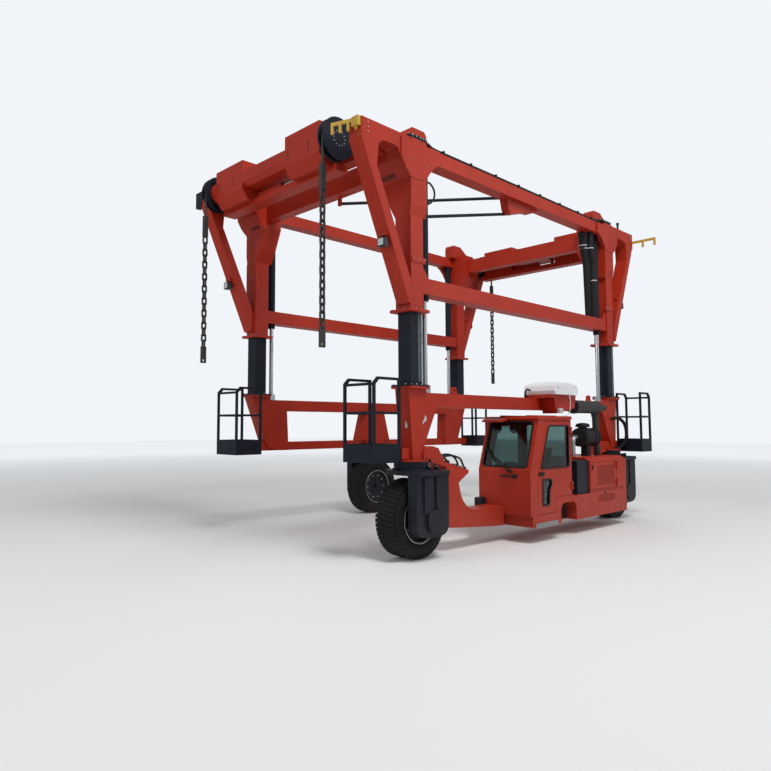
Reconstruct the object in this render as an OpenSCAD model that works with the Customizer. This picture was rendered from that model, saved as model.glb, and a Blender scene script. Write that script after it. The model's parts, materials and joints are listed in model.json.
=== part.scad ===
/* [Straddle frame] */
// Distance between the front and rear mast centres
wheelbase = 5872; // [5600:1:6400]
// Distance between the left and right mast centres
track = 3726; // [3700:1:4000]
// Underside of the chassis beams
beam_bottom = 2070; // [2060:1:2120]
// Depth of the chassis beams
beam_depth = 200; // [160:1:220]
// Width of the chassis beams and lower legs
beam_width = 250; // [200:1:280]
// Size of the square flanges under the masts
flange_size = 380; // [370:1:400]
// Size of the square flanges under the gantry's sleeves
sleeve_flange = 400; // [380:1:420]
// Underside of the lower legs, on the slewing rings
leg_bottom = 1340; // [1340:1:1360]

/* [Masts and lift] */
// Outside size of the square mast tubes
mast_size = 236; // [220:1:240]
// Wall of the mast tubes
mast_wall = 14; // [8:1:20]
// Room above the masts inside the gantry's heads, as stored
mast_headroom = 1070; // [1060:1:1200]
// Gap on each side between a mast and the sleeve that slides on it
sleeve_gap = 6; // [5:1:8]
// Wall of the sleeves
sleeve_wall = 15; // [12:1:18]
// Underside of the lifted gantry's sleeves
gantry_bottom = 3390; // [3380:1:3420]
// Top of the gantry frame
gantry_top = 5870; // [5860:1:5900]
// Radius of the lift rods
rod_r = 37.5; // [30:0.5:45]
// Outside radius of the lift cylinder barrels
barrel_r = 65; // [60:1:70]
// Gap between a rod and its barrel's bore
rod_gap = 1; // [0.5:0.5:3]

/* [Gantry] */
// How far the brace tips stand out past the mast centres
brace_reach = 1094; // [1060:1:1110]
// Underside of the long mid beams
mid_beam_bottom = 3680; // [3600:1:3720]
// Depth of the long mid beams
mid_beam_depth = 227; // [180:1:240]
// Depth of the long top beams, below the top of the frame
top_beam_depth = 250; // [230:1:270]

/* [Lifting beams] */
// How far a lifting beam's face stands out past the mast centres
lift_reach = 1134; // [1120:1:1150]
// Gap between the chain sheaves and the braces, with the lifting beams in the middle
sheave_gap = 190; // [185:1:240]
// How far the lifting beams stand to the right of the middle as stored
lift_offset = 140; // [100:1:150]
// Radius of the chain sheaves
sheave_r = 300; // [260:1:305]
// Width of the chain sheaves
sheave_w = 120; // [100:1:130]
// Radius of the bolted hub plates beside the sheaves
hub_plate_r = 190; // [150:1:200]
// Thickness of the chain bar
chain_bar = 24; // [16:1:30]
// Outside length of a chain link
link_length = 150; // [120:1:170]
// Lowest point of the chain hooks
chain_end = 2850; // [2700:1:3000]

/* [Wheels] */
// Radius of the tyres
tyre_r = 540; // [520:1:545]
// Width of the tyres
tyre_w = 380; // [340:1:390]
// Radius of the rims
rim_r = 335; // [300:1:350]
// Radius of the stub axles
axle_r = 60; // [50:1:70]
// Gap between a stub axle and its bore
axle_gap = 0.1; // [0.05:0.01:0.2]
// Radius of the slewing rings
ring_r = 240; // [220:1:250]
// Gap between the two halves of a slewing ring
ring_gap = 0.5; // [0.3:0.1:2]

/* [Cab and engine pod] */
// Outer face of the pod, from the middle of the straddle lane
pod_outer = 2500; // [2480:1:2540]
// Inner face of the pod, from the middle of the straddle lane
pod_inner = 1550; // [1540:1:1580]
// Front of the cab
cab_front = 930; // [900:1:960]
// Back of the cab
cab_back = -330; // [-340:1:-320]
// Floor of the cab
cab_floor = 420; // [400:1:430]
// Bottom edge of the cab windows
cab_waist = 1110; // [1080:1:1140]
// Top of the cab
cab_top = 1950; // [1900:1:1960]
// Thickness of the cab panels
cab_wall = 40; // [30:1:45]
// How far the windscreen leans back
screen_lean = 270; // [240:1:300]
// Front of the engine housing
engine_front = -960; // [-1000:1:-955]
// Gap between the rear tyre and the engine housing, with the wheel straight
engine_gap = 71; // [65:1:140]
// Top of the engine housing
engine_top = 1250; // [1200:1:1300]
// Top of the floor skirt under the engine housing
skirt_top = 650; // [620:1:670]
// Underside of the pod
pod_bottom = 250; // [240:1:300]
// Gap around the doors
door_gap = 6; // [5:1:8]
// Radius of the door hinges' knuckles
hinge_r = 14; // [10:1:16]
// Height of one hinge knuckle
knuckle = 40; // [30:1:50]

/* [Hidden] */

// Paint and material colours
paint = [0.80, 0.20, 0.09];
dark = [0.10, 0.11, 0.15];
tyre_black = [0.06, 0.06, 0.07];
steel = [0.78, 0.79, 0.80];
ochre = [0.78, 0.60, 0.15];
glass = [0.35, 0.45, 0.45, 0.5];
lamp_grey = [0.75, 0.77, 0.78];

mast_x = wheelbase / 2;
mast_y = track / 2;
mast_top = gantry_top - mast_headroom;
top_beam_bottom = gantry_top - top_beam_depth;
brace_tip = mast_x + brace_reach;
lift_face = mast_x + lift_reach;
engine_back = -(mast_x - tyre_r - engine_gap);
brace_inner = 83;
hub_w = 120;
lift_half = mast_y - brace_inner - sheave_gap - sheave_w - hub_w;
beam_top = beam_bottom + beam_depth;
lower_flange_bottom = beam_top + 50;
lower_flange_top = lower_flange_bottom + 30;
mast_plate_top = lower_flange_top + 25;
fork_arm_outer = mast_y + 440;
// The origin lies in the middle of the whole width, so the lane's middle is a little to the right
lane_y = -(pod_outer + 2 * hinge_r - fork_arm_outer) / 2;
sides = [-1, 1];
wheel_spots = [
    ["front", mast_x, mast_y, 1],
    ["rear", -mast_x, mast_y, 1],
    ["right", 0, -mast_y, -1]
];

module lane() {
    translate([0, lane_y, 0]) children();
}

// A block from its low corner to its high corner
module block(lo, hi) {
    translate(lo) cube(hi - lo);
}

// An outline in X and Z, spread across the width from y0 to y1
module side_outline(points, y0, y1) {
    translate([0, y1, 0])
        rotate([90, 0, 0])
            linear_extrude(y1 - y0) polygon(points);
}

// The same with its corners rounded
module rounded_side_outline(points, r, y0, y1) {
    translate([0, y1, 0])
        rotate([90, 0, 0])
            linear_extrude(y1 - y0) rounded(r) polygon(points);
}

module rounded(r) {
    offset(r = r, $fn = 32) offset(delta = -r) children();
}

// An outline in Y and Z, spread along the length from x0 to x1
module front_outline(points, x0, x1) {
    translate([x0, 0, 0])
        rotate([90, 0, 90])
            linear_extrude(x1 - x0) polygon(points);
}

// The same piece at the front and, mirrored, at the rear
module front_and_rear() {
    for (end = sides) scale_x(end) children();
}

module left_and_right() {
    for (side = sides) scale_y(side) children();
}

module scale_x(end) {
    if (end > 0) children();
    else mirror([1, 0, 0]) children();
}

module scale_y(side) {
    if (side > 0) children();
    else mirror([0, 1, 0]) children();
}

module rod_along_y(r, x, z, y0, y1) {
    translate([x, y1, z]) rotate([90, 0, 0]) cylinder(r = r, h = y1 - y0, $fn = 48);
}

module rod_along_x(r, y, z, x0, x1) {
    translate([x0, y, z]) rotate([0, 90, 0]) cylinder(r = r, h = x1 - x0, $fn = 48);
}

// Side frames

half_beam = beam_width / 2;
stub_bottom = leg_bottom + 10;
stub_top = stub_bottom + 150;
stub_half = 80;
platform_start = mast_x + 264;
platform_end = platform_start + 520;
rear_platform_in = mast_y + 87;
rear_platform_x = mast_x + 244;
leg_knee = leg_bottom + 80;

module left_leg() {
    side_outline([
        [mast_x - 100, leg_bottom], [mast_x + 100, leg_bottom],
        [mast_x + 135, 1900], [mast_x + 180, lower_flange_bottom],
        [mast_x - 180, lower_flange_bottom], [mast_x - 210, beam_top],
        [mast_x - 425, beam_top], [leg_back(beam_bottom), beam_bottom],
        [leg_back(leg_knee), leg_knee]
    ], mast_y - half_beam, mast_y + half_beam);
}

// Inner edge of a left leg at a height
function leg_back(z) = mast_x - 90 - (z - leg_knee) * 335 / (beam_bottom - leg_knee);

module leg_flange() {
    half = flange_size / 2;
    block([mast_x - half, mast_y - half, lower_flange_bottom],
          [mast_x + half, mast_y + half, lower_flange_top]);
}

module front_stub() {
    block([mast_x, mast_y - stub_half, stub_bottom],
          [platform_start, mast_y + stub_half, stub_top]);
}

module rear_stub() {
    block([-rear_platform_x - 80, mast_y - stub_half, stub_bottom],
          [-mast_x, rear_platform_in, stub_top]);
}

module side_frame_left() {
    color(paint) lane() {
        front_and_rear() {
            left_leg();
            leg_flange();
        }
        front_stub();
        rear_stub();
        block([-(mast_x - 400), mast_y - half_beam, beam_bottom],
              [mast_x - 400, mast_y + half_beam, beam_top]);
        lifting_lug(mast_x - 966);
        lifting_lug(-(mast_x - 736));
        ac_pedestal();
    }
}

lug_half = 20;
lug_hole_r = 22;

module lifting_lug(x) {
    difference() {
        side_outline([[x - 75, beam_top], [x + 75, beam_top], [x + 40, beam_top + 110], [x - 40, beam_top + 110]],
                     mast_y - lug_half, mast_y + lug_half);
        rod_along_y(lug_hole_r, x, beam_top + 65, mast_y - lug_half - 1, mast_y + lug_half + 1);
    }
}

pedestal_front = -150;
pedestal_back = -1000;
pedestal_top = 2330;

module ac_pedestal() {
    side_outline([
        [pedestal_front, beam_top], [pedestal_front, pedestal_top], [pedestal_back, pedestal_top],
        [pedestal_back + 60, beam_bottom + 40], [pedestal_front - 180, beam_bottom - 60],
        [pedestal_front - 120, beam_top]
    ], mast_y + half_beam, mast_y + half_beam + 260);
    block([pedestal_back, mast_y - half_beam, beam_top],
          [pedestal_front, mast_y + half_beam, pedestal_top]);
}

module side_frame_right() {
    color(paint) lane() scale_y(-1) {
        front_and_rear() {
            side_outline([
                [mast_x - 400, stub_bottom], [mast_x - 180, stub_bottom + 60],
                [mast_x + 180, lower_flange_bottom], [mast_x - 180, lower_flange_bottom],
                [mast_x - 210, beam_top], [mast_x - 520, beam_top], [mast_x - 600, beam_bottom],
                [mast_x - 640, stub_bottom]
            ], mast_y - half_beam, mast_y + half_beam);
            leg_flange();
        }
        block([-(mast_x - 500), mast_y - half_beam, beam_bottom],
              [mast_x - 500, mast_y + half_beam, beam_top]);
        block([-rear_platform_x, mast_y - stub_half, stub_bottom],
              [platform_start, mast_y + stub_half, stub_top]);
        block([-260, mast_y - half_beam, leg_bottom], [260, mast_y + half_beam, stub_top + 60]);
        side_outline([[-420, stub_top], [420, stub_top], [260, beam_bottom], [-260, beam_bottom]],
                     mast_y - half_beam, mast_y + half_beam);
    }
}

// Slewing rings: the fixed half hangs under each leg, the turning half is part of the fork

ring_top = leg_bottom;
ring_split = ring_top - 70;
fork_plate_top = ring_split - 70;
fork_plate_bottom = fork_plate_top - 60;

module slewing_rings() {
    color(dark) lane()
        for (spot = wheel_spots)
            translate([spot[1], spot[2], ring_split])
                cylinder(r = ring_r, h = ring_top - ring_split, $fn = 96);
}

// Masts and lift rods

half_mast = mast_size / 2;

module masts() {
    color(dark) lane() left_and_right() front_and_rear() {
        half = flange_size / 2;
        bore = half_mast - mast_wall;
        difference() {
            union() {
                block([mast_x - half, mast_y - half, lower_flange_top],
                      [mast_x + half, mast_y + half, mast_plate_top]);
                block([mast_x - half_mast, mast_y - half_mast, mast_plate_top],
                      [mast_x + half_mast, mast_y + half_mast, mast_top]);
            }
            block([mast_x - bore, mast_y - bore, mast_plate_top + 20],
                  [mast_x + bore, mast_y + bore, mast_top - 20]);
        }
    }
}

lift_x = mast_x - 316;
// How far the gantry comes down from its stored height
lift_down = 950;
rod_top = top_beam_bottom - lift_down - 70;
rod_foot_top = beam_top + 110;

module lift_rods() {
    color(steel) lane() left_and_right() front_and_rear() {
        block([lift_x - 50, mast_y - 60, beam_top], [lift_x + 50, mast_y + 60, rod_foot_top]);
        translate([lift_x, mast_y, rod_foot_top]) cylinder(r = rod_r, h = rod_top - rod_foot_top, $fn = 64);
    }
}

// Access platforms at the four corners

rail = 36;
toe_height = 250;
hoop_top = 2460;
knee_z = 1960;
hoop_bend = 80;

// One side of the guard rail: a bent frame with a chamfered outer corner and a knee rail
module hoop(x0, x1, y, toe_top) {
    inner = rail * 0.6;
    difference() {
        side_outline([
            [x0, toe_top - 60], [x0, hoop_top], [x1 - hoop_bend, hoop_top],
            [x1, hoop_top - hoop_bend], [x1, toe_top - 60]
        ], y, y + rail);
        side_outline([
            [x0 + rail, toe_top - 61], [x0 + rail, hoop_top - rail],
            [x1 - hoop_bend - inner, hoop_top - rail], [x1 - rail, hoop_top - hoop_bend - inner],
            [x1 - rail, toe_top - 61]
        ], y - 1, y + rail + 1);
    }
    block([x0, y, knee_z], [x1, y + rail, knee_z + rail]);
}

// A platform box with guard rails, drawn at the front left and open towards the leg
module one_platform(x0, x1, y0, y1, bottom) {
    toe_top = bottom + toe_height;
    difference() {
        block([x0, y0, bottom], [x1, y1, toe_top]);
        block([x0 + 12, y0 + 12, bottom + 25], [x1 - 12, y1 - 12, toe_top + 1]);
    }
    hoop(x0, x1, y0, toe_top);
    hoop(x0, x1, y1 - rail, toe_top);
    for (z = [hoop_top - hoop_bend - rail, knee_z])
        block([x1 - rail, y0, z], [x1, y1, z + rail]);
}

module platforms() {
    color(dark) lane() {
        left_and_right() one_platform(platform_start, platform_end, mast_y - 540, mast_y + 60, stub_bottom - 40);
        scale_x(-1) {
            one_platform(rear_platform_x, rear_platform_x + 450, rear_platform_in, rear_platform_in + 500,
                         stub_bottom - 60);
            scale_y(-1) one_platform(rear_platform_x, rear_platform_x + 450, mast_y - 370, mast_y + 80,
                                     stub_bottom - 40);
        }
    }
}

// Pod frame: the carriers behind the wheels, the floor and the skirt

carrier_in = mast_y - 180;
carrier_out = mast_y + 150;
arch_x = -210;
skirt_front = 170;
skirt_depth = 180;

function arc_points(cx, cz, r, a0, a1, steps) =
    [for (i = [0 : steps]) [cx + r * cos(a0 + (a1 - a0) * i / steps), cz + r * sin(a0 + (a1 - a0) * i / steps)]];

module front_carrier() {
    side_outline(concat([
        [leg_back(1520), 1520], [leg_back(leg_knee), leg_knee], [mast_x - 100, leg_bottom + 1],
        [mast_x - 250, leg_bottom + 1], [mast_x - 260, leg_bottom - 40], [mast_x - 590, leg_bottom - 125],
        [mast_x - 610, leg_bottom - 180], [mast_x - 610, 400],
        [mast_x - 690, 345], [cab_front + 320, pod_bottom + 15], [cab_front, pod_bottom], [cab_front, 550]],
        arc_points(mast_x - 1296, 950, 400, -90, -10, 6), [
        [mast_x - 876, 980], [mast_x - 1116, 1110], [mast_x - 1116, 1150], [mast_x - 560, 1290],
        [mast_x - 420, 1490], [mast_x - 300, 1520]
    ]), carrier_in, carrier_out);
}

module rear_carrier() {
    side_outline([
        [-leg_back(1500), 1500], [-leg_back(leg_knee), leg_knee], [-(mast_x - 100), leg_bottom + 1],
        [-(mast_x - 250), leg_bottom + 1], [-(mast_x - 260), leg_bottom - 40],
        [engine_back - 45, 1240], [engine_back - 25, 1200], [engine_back - 25, 900], [engine_back, 900],
        [engine_back, 1240], [-(mast_x - 400), 1500]
    ], carrier_in, mast_y + 100);
}

module arch_recess() {
    side_outline([
        [arch_x - 250, pod_bottom - 1], [arch_x + 250, pod_bottom - 1], [arch_x + 250, 460],
        [arch_x + 215, 525], [arch_x + 150, 560], [arch_x - 150, 560], [arch_x - 215, 525], [arch_x - 250, 460]
    ], pod_outer - skirt_depth, pod_outer + 1);
}

module pod_frame() {
    color(paint) lane() {
        front_carrier();
        rear_carrier();
        difference() {
            front_outline([[pod_inner, pod_bottom], [pod_outer, pod_bottom], [pod_outer, cab_floor],
                           [pod_inner, cab_floor]], engine_back, cab_front - 60);
            arch_recess();
        }
        difference() {
            block([engine_back, pod_inner, cab_floor], [skirt_front, pod_outer, skirt_top]);
            block([cab_back, pod_inner - 1, cab_floor], [skirt_front + 1, pod_outer - skirt_depth, skirt_top + 1]);
            arch_recess();
            block([engine_back + 60, pod_inner + 60, cab_floor + 20], [engine_front, pod_outer - 60, skirt_top + 1]);
            slot_rows(hatch_back + 100, engine_front - 270, 480, 5);
        }
        block([skirt_front, pod_outer - 140, pod_bottom - 10], [cab_front - 130, pod_outer + 10, pod_bottom + 50]);
    }
}

// Cab

screen_top_x = cab_front - screen_lean;
cab_side = [
    [cab_back, cab_floor], [cab_front, cab_floor], [cab_front, cab_waist],
    [screen_top_x, cab_top - 40], [cab_back, cab_top - 40]
];
function shrunk_side(g) = [
    [cab_back + g, cab_floor + g], [cab_front - g, cab_floor + g], [cab_front - g, cab_waist - g * 0.2],
    [screen_top_x - g, cab_top - 40 + 1], [cab_back + g, cab_top - 40 + 1]
];
door_front_x = 740;
door_low_back = 190;
door_back = cab_back + 20;
function door_outline(g) = [
    [door_front_x - g, cab_floor + 10 + g], [door_front_x - 30 - g, cab_waist],
    [door_front_x - 310 - g, cab_top - 70 - g], [door_back + g, cab_top - 70 - g],
    [door_back + g, skirt_top + 20 + g], [door_low_back + g, skirt_top + 20 + g],
    [door_low_back + g, cab_floor + 10 + g]
];
function window_outline(m) = [
    [door_front_x - 40 - m, cab_waist + 20], [door_front_x - 300 - m, cab_top - 110 - m / 2],
    [door_back + m, cab_top - 110 - m / 2], [door_back + m, cab_waist + 20]
];
boot_window = [
    [600, 560], [590, 970], [330, 970], [300, 880], [370, 800], [390, 560]
];
glass_t = 8;
frame_w = 60;
window_r = 45;
screen_slope = atan2(screen_lean, cab_top - 40 - cab_waist);
screen_length = norm([screen_lean, cab_top - 40 - cab_waist]);

// The windscreen's rounded outline on its slope, from x0 to x1 off the cab's front
module screen_outline(x0, x1) {
    translate([cab_front, 0, cab_waist]) rotate([0, -screen_slope, 0])
        translate([x0, 0, 0]) rotate([90, 0, 90]) linear_extrude(x1 - x0) rounded(70) polygon([
            [pod_inner + 55, 45], [pod_outer - 55, 45], [pod_outer - 75, screen_length - 40],
            [pod_inner + 75, screen_length - 40]
        ]);
}

module rear_window(x0, x1) {
    translate([x0, 0, 0]) rotate([90, 0, 90]) linear_extrude(x1 - x0) rounded(60) polygon([
        [pod_inner + 100, cab_waist + 90], [pod_outer - 100, cab_waist + 90],
        [pod_outer - 100, cab_top - 120], [pod_inner + 100, cab_top - 120]
    ]);
}

module cab_shell() {
    color(paint) lane() difference() {
        union() {
            side_outline(cab_side, pod_inner, pod_outer);
            for (y = [pod_inner + 20, pod_outer - 50])
                side_outline([
                    [cab_front - 10, cab_waist], [cab_front + 14, cab_waist], [screen_top_x + 14, cab_top - 40],
                    [screen_top_x - 10, cab_top - 40]
                ], y, y + 30);
        }
        side_outline(shrunk_side(cab_wall), pod_inner + cab_wall, pod_outer - cab_wall);
        rounded_side_outline(door_outline(0), 20, pod_outer - cab_wall - 1, pod_outer + 1);
        rounded_side_outline(window_outline(frame_w), window_r, pod_inner - 1, pod_inner + cab_wall + 1);
        screen_outline(-160, 60);
        rear_window(cab_back - 1, cab_back + cab_wall + 1);
        block([cab_back - 1, pod_outer - skirt_depth, cab_floor - 1], [skirt_front, pod_outer + 1, skirt_top]);
    }
    color(paint) lane() cab_hinges() fixed_knuckles();
}

// Roof panel with a visor over the windscreen and two raised ribs
module cab_roof() {
    color(paint) lane() {
        side_outline([
            [cab_back - 20, cab_top - 40], [screen_top_x + 60, cab_top - 40],
            [screen_top_x + 40, cab_top], [cab_back + 20, cab_top + 10]
        ], pod_inner - 20, pod_outer + 20);
        side_outline([[screen_top_x + 60, cab_top - 60], [screen_top_x + 200, cab_top - 90],
                      [screen_top_x + 190, cab_top - 60], [screen_top_x + 40, cab_top - 10]],
                     pod_inner + 20, pod_inner + 420);
        for (y = [pod_inner + 200, pod_outer - 260])
            block([cab_back + 80, y, cab_top - 5], [screen_top_x - 60, y + 60, cab_top + 22]);
    }
}

module cab_glass() {
    color(glass) lane() {
        screen_outline(-24, glass_t - 24);
        rounded_side_outline(window_outline(frame_w), window_r, pod_inner + 12, pod_inner + 12 + glass_t);
        rear_window(cab_back + 12, cab_back + 12 + glass_t);
    }
}

module operator_seat() {
    color(dark) lane() {
        seat_y = (pod_inner + pod_outer) / 2;
        block([-60, seat_y - 120, cab_floor + cab_wall], [200, seat_y + 120, 760]);
        side_outline([[-90, 760], [380, 760], [400, 860], [-60, 880]], seat_y - 240, seat_y + 240);
        side_outline([[-100, 880], [20, 880], [-90, 1480], [-190, 1480]], seat_y - 230, seat_y + 230);
    }
}

module steering_console() {
    color(dark) lane() {
        console_y = (pod_inner + pod_outer) / 2;
        side_outline([[650, cab_floor + cab_wall], [800, cab_floor + cab_wall], [760, 1040], [620, 1040]],
                     console_y - 150, console_y + 150);
        translate([600, console_y, 1130]) rotate([0, -28, 0]) difference() {
            cylinder(r = 190, h = 26, center = true, $fn = 64);
            cylinder(r = 160, h = 30, center = true, $fn = 64);
        }
        translate([600, console_y, 1130]) rotate([0, -28, 0]) {
            cube([330, 30, 20], center = true);
            translate([0, 0, -130]) cylinder(r = 30, h = 135, $fn = 32);
        }
    }
}

// Door hinges: the middle knuckle turns with the door, the outer two stay on the frame

knuckle_gap = 0.3;

module fixed_knuckles() {
    for (z = [-1.5 * knuckle, 0.5 * knuckle]) {
        translate([0, 0, z]) cylinder(r = hinge_r, h = knuckle, $fn = 48);
        block([-60, -hinge_r, z], [0, -hinge_r + 8, z + knuckle]);
    }
}

module moving_knuckle() {
    half = knuckle / 2 - knuckle_gap;
    translate([0, 0, -half]) cylinder(r = hinge_r, h = 2 * half, $fn = 48);
    block([0, -hinge_r, -half], [60, -hinge_r + 8, half]);
}

module cab_hinges() {
    for (z = [820, 1720]) translate([door_back + door_gap / 2, pod_outer + hinge_r, z]) children();
}

module engine_hinges() {
    for (z = [780, 1090]) translate([hatch_back + door_gap / 2, pod_outer + hinge_r, z]) children();
}

// Engine side of the pod

engine_skin = 30;
hatch_front = engine_front - 30;
hatch_back = engine_back + 385;
hatch_bottom = skirt_top + 50;
hatch_top = engine_top - 80;

module engine_housing() {
    color(paint) lane() difference() {
        front_outline([
            [pod_inner, skirt_top], [pod_outer, skirt_top], [pod_outer, engine_top - 60],
            [pod_outer - 110, engine_top], [pod_inner + 40, engine_top], [pod_inner, engine_top - 40]
        ], engine_back, engine_front);
        block([engine_back + engine_skin, pod_inner + engine_skin, skirt_top - 1],
              [engine_front - engine_skin, pod_outer - engine_skin, engine_top - engine_skin - 40]);
        block([hatch_back, pod_outer - engine_skin - 1, hatch_bottom],
              [hatch_front, pod_outer + 1, hatch_top]);
        block([engine_back + 145, pod_outer - 12, skirt_top + 18], [engine_front - 50, pod_outer + 1, skirt_top + 34]);
    }
    color(paint) lane() engine_hinges() fixed_knuckles();
}

// Rows of narrow slots in an outer face, from x0 to x1 and upwards from z
slot_pitch = 25;
slot_height = 11;
slot_depth = 12;

module slot_rows(x0, x1, z, rows) {
    for (i = [0 : rows - 1])
        block([x0, pod_outer - slot_depth, z + i * slot_pitch], [x1, pod_outer + 1, z + i * slot_pitch + slot_height]);
}

module engine_block() {
    color([0.25, 0.26, 0.27]) lane()
        block([engine_back + 175, pod_inner + 200, cab_floor + 20],
              [engine_front - 140, pod_outer - 200, engine_top - 170]);
}

module engine_door() {
    color(paint) lane() engine_hinges() moving_knuckle();
    color(paint) lane() difference() {
        block([hatch_back + door_gap, pod_outer - engine_skin, hatch_bottom + door_gap],
              [hatch_front - door_gap, pod_outer, hatch_top - door_gap]);
        slot_rows(hatch_back + 100, engine_front - 250, hatch_bottom + 70, 14);
    }
}

battery_front = -560;

module battery_box() {
    color(dark) lane() {
        difference() {
            block([engine_front, pod_inner + 20, skirt_top], [battery_front, pod_outer - 30, 1210]);
            block([engine_front + 20, pod_outer - 36, 925], [battery_front - 20, pod_outer - 29, 937]);
        }
        block([battery_front, pod_inner + 20, skirt_top], [cab_back - 50, pod_outer - 260, 1180]);
    }
}

muffler_y = mast_y + half_beam + 135;
muffler_z = beam_bottom + 70;
muffler_back = engine_back + 315;
muffler_front = engine_front - 150;

module muffler() {
    color(dark) lane() {
        rod_along_x(115, muffler_y, muffler_z, muffler_back, muffler_front);
        rod_along_x(124, muffler_y, muffler_z, muffler_front - 70, muffler_front);
        translate([muffler_back, muffler_y, muffler_z]) rotate([0, -90, 0]) cylinder(r1 = 115, r2 = 55, h = 90, $fn = 48);
        rod_along_x(55, muffler_y, muffler_z, muffler_back - 310, muffler_back - 80);
        for (x = [muffler_front - 190, muffler_back + 180])
            block([x - 30, mast_y + half_beam, muffler_z - 30], [x + 30, muffler_y - 100, muffler_z + 30]);
        difference() {
            slanted_rod([muffler_back + 50, muffler_y - 10, muffler_z - 70],
                        [muffler_back - 70, mast_y + 207, engine_top - 60], 60);
            block([muffler_back - 190, mast_y, engine_top - 200], [muffler_back + 110, mast_y + 437, engine_top]);
        }
    }
}

cleaner_r = 160;
cleaner_z = 1590;
cleaner_y = mast_y + 220;
cleaner_back = engine_back + 400;
cleaner_front = cleaner_back + 560;
intake_x = cleaner_back + 395;

// Air cleaner: a ribbed drum on a foot, with a domed intake on top
module air_cleaner() {
    color(dark) lane() {
        rod_along_x(cleaner_r, cleaner_y, cleaner_z, cleaner_back, cleaner_front);
        for (x = [cleaner_back + 30, cleaner_back + 165, cleaner_front - 60])
            rod_along_x(cleaner_r + 10, cleaner_y, cleaner_z, x, x + 26);
        rod_along_x(70, cleaner_y, cleaner_z, cleaner_front, cleaner_front + 60);
        translate([intake_x, cleaner_y, cleaner_z]) cylinder(r = 80, h = 200, $fn = 48);
        translate([intake_x, cleaner_y, cleaner_z + 185]) rotate_extrude($fn = 64) polygon(concat(
            [[0, 0], [125, 0]], arc_points(75, 20, 50, 0, 80, 4), [[0, 80]]));
        block([intake_x - 170, cleaner_y - 60, engine_top], [intake_x - 30, cleaner_y + 60, cleaner_z - 100]);
    }
}

// Air conditioner on its pedestal, a rounded cover with three ribs
module ac_unit() {
    color([0.9, 0.91, 0.92]) lane() {
        difference() {
            rounded_side_outline([
                [-900, pedestal_top - 40], [-190, pedestal_top - 40], [-150, pedestal_top + 60],
                [-170, pedestal_top + 150], [-260, pedestal_top + 205], [-820, pedestal_top + 205],
                [-920, pedestal_top + 150], [-940, pedestal_top + 60]
            ], 30, mast_y - 120, mast_y + 460);
            block([-1000, mast_y - 130, pedestal_top - 50], [-100, mast_y + 470, pedestal_top]);
            for (end = [[mast_y + 400, 1], [mast_y - 60, -1]])
                translate([-545, end[0], pedestal_top + 205]) rotate([end[1] * -35, 0, 0])
                    translate([0, end[1] * 100, 75]) cube([900, 200, 150], center = true);
            translate([-260, mast_y + 461, pedestal_top + 110]) rotate([90, 0, 0]) cylinder(r = 26, h = 30, $fn = 32);
        }
        for (x = [-760, -560, -360])
            block([x - 18, mast_y - 40, pedestal_top + 200], [x + 18, mast_y + 380, pedestal_top + 217]);
    }
}

// Gantry

sleeve_in = mast_size / 2 + sleeve_gap;
sleeve_out = sleeve_in + sleeve_wall;
gantry_flange_top = gantry_bottom + 40;
head_step = gantry_top - 1110;
head_in = mast_y - 430;
flare_z = head_step + 585;
head_out = mast_y + 169;
head_front = mast_x + 144;
head_back = mast_x - 196;

// A gabled cover on top of each leg head
module head_cap() {
    side_outline([
        [mast_x - 370, gantry_top - 40], [mast_x - 370, gantry_top + 200], [mast_x - 325, gantry_top + 255],
        [mast_x - 60, gantry_top + 255], [mast_x + 235, gantry_top + 60], [mast_x + 220, gantry_top],
        [head_front, gantry_top], [head_front, gantry_top - 40]
    ], mast_y - 200, mast_y + 20);
}

module upper_legs() {
    color(paint) lane() left_and_right() front_and_rear() {
        half = sleeve_flange / 2;
        head_cap();
        difference() {
            union() {
                block([mast_x - half, mast_y - half, gantry_bottom],
                      [mast_x + half, mast_y + half, gantry_flange_top]);
                block([mast_x - sleeve_out, mast_y - sleeve_out, gantry_flange_top],
                      [mast_x + sleeve_out, mast_y + sleeve_out, head_step + 100]);
                front_outline([
                    [mast_y - sleeve_out, head_step], [mast_y + sleeve_out, head_step],
                    [head_out, head_step + 160], [head_out, gantry_top], [head_in, gantry_top],
                    [head_in, flare_z], [mast_y - 270, head_step + 230]
                ], head_back, head_front);
                side_outline([
                    [head_front - 20, gantry_top - 570], [head_front, gantry_top - 570],
                    [head_front + 104, gantry_top - 476], [head_front + 198, gantry_top - 342],
                    [head_front + 210, gantry_top - 270], [head_front + 210, gantry_top - 100],
                    [head_front - 20, gantry_top - 100]
                ], head_in, mast_y - brace_inner);
            }
            block([mast_x - sleeve_in, mast_y - sleeve_in, gantry_bottom - 1],
                  [mast_x + sleeve_in, mast_y + sleeve_in, gantry_top - 20]);
        }
    }
}

module top_beams() {
    color(paint) lane() left_and_right() {
        block([-head_back, mast_y - brace_inner, top_beam_bottom], [head_back, mast_y + 140, gantry_top - 40]);
        front_and_rear() side_outline([
            [head_back, top_beam_bottom - 275], [head_back, top_beam_bottom], [head_back - 300, top_beam_bottom],
            [head_back - 200, top_beam_bottom - 45], [head_back - 100, top_beam_bottom - 145]
        ], mast_y + 100, mast_y + 140);
    }
    color(paint) lane() side_outline([
        [-430, top_beam_bottom], [-237, top_beam_bottom - 93], [-101, top_beam_bottom - 103],
        [445, top_beam_bottom - 254], [505, top_beam_bottom - 154], [540, top_beam_bottom]
    ], mast_y - brace_inner, mast_y + 60);
}

mid_beam_top = mid_beam_bottom + mid_beam_depth;

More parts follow.
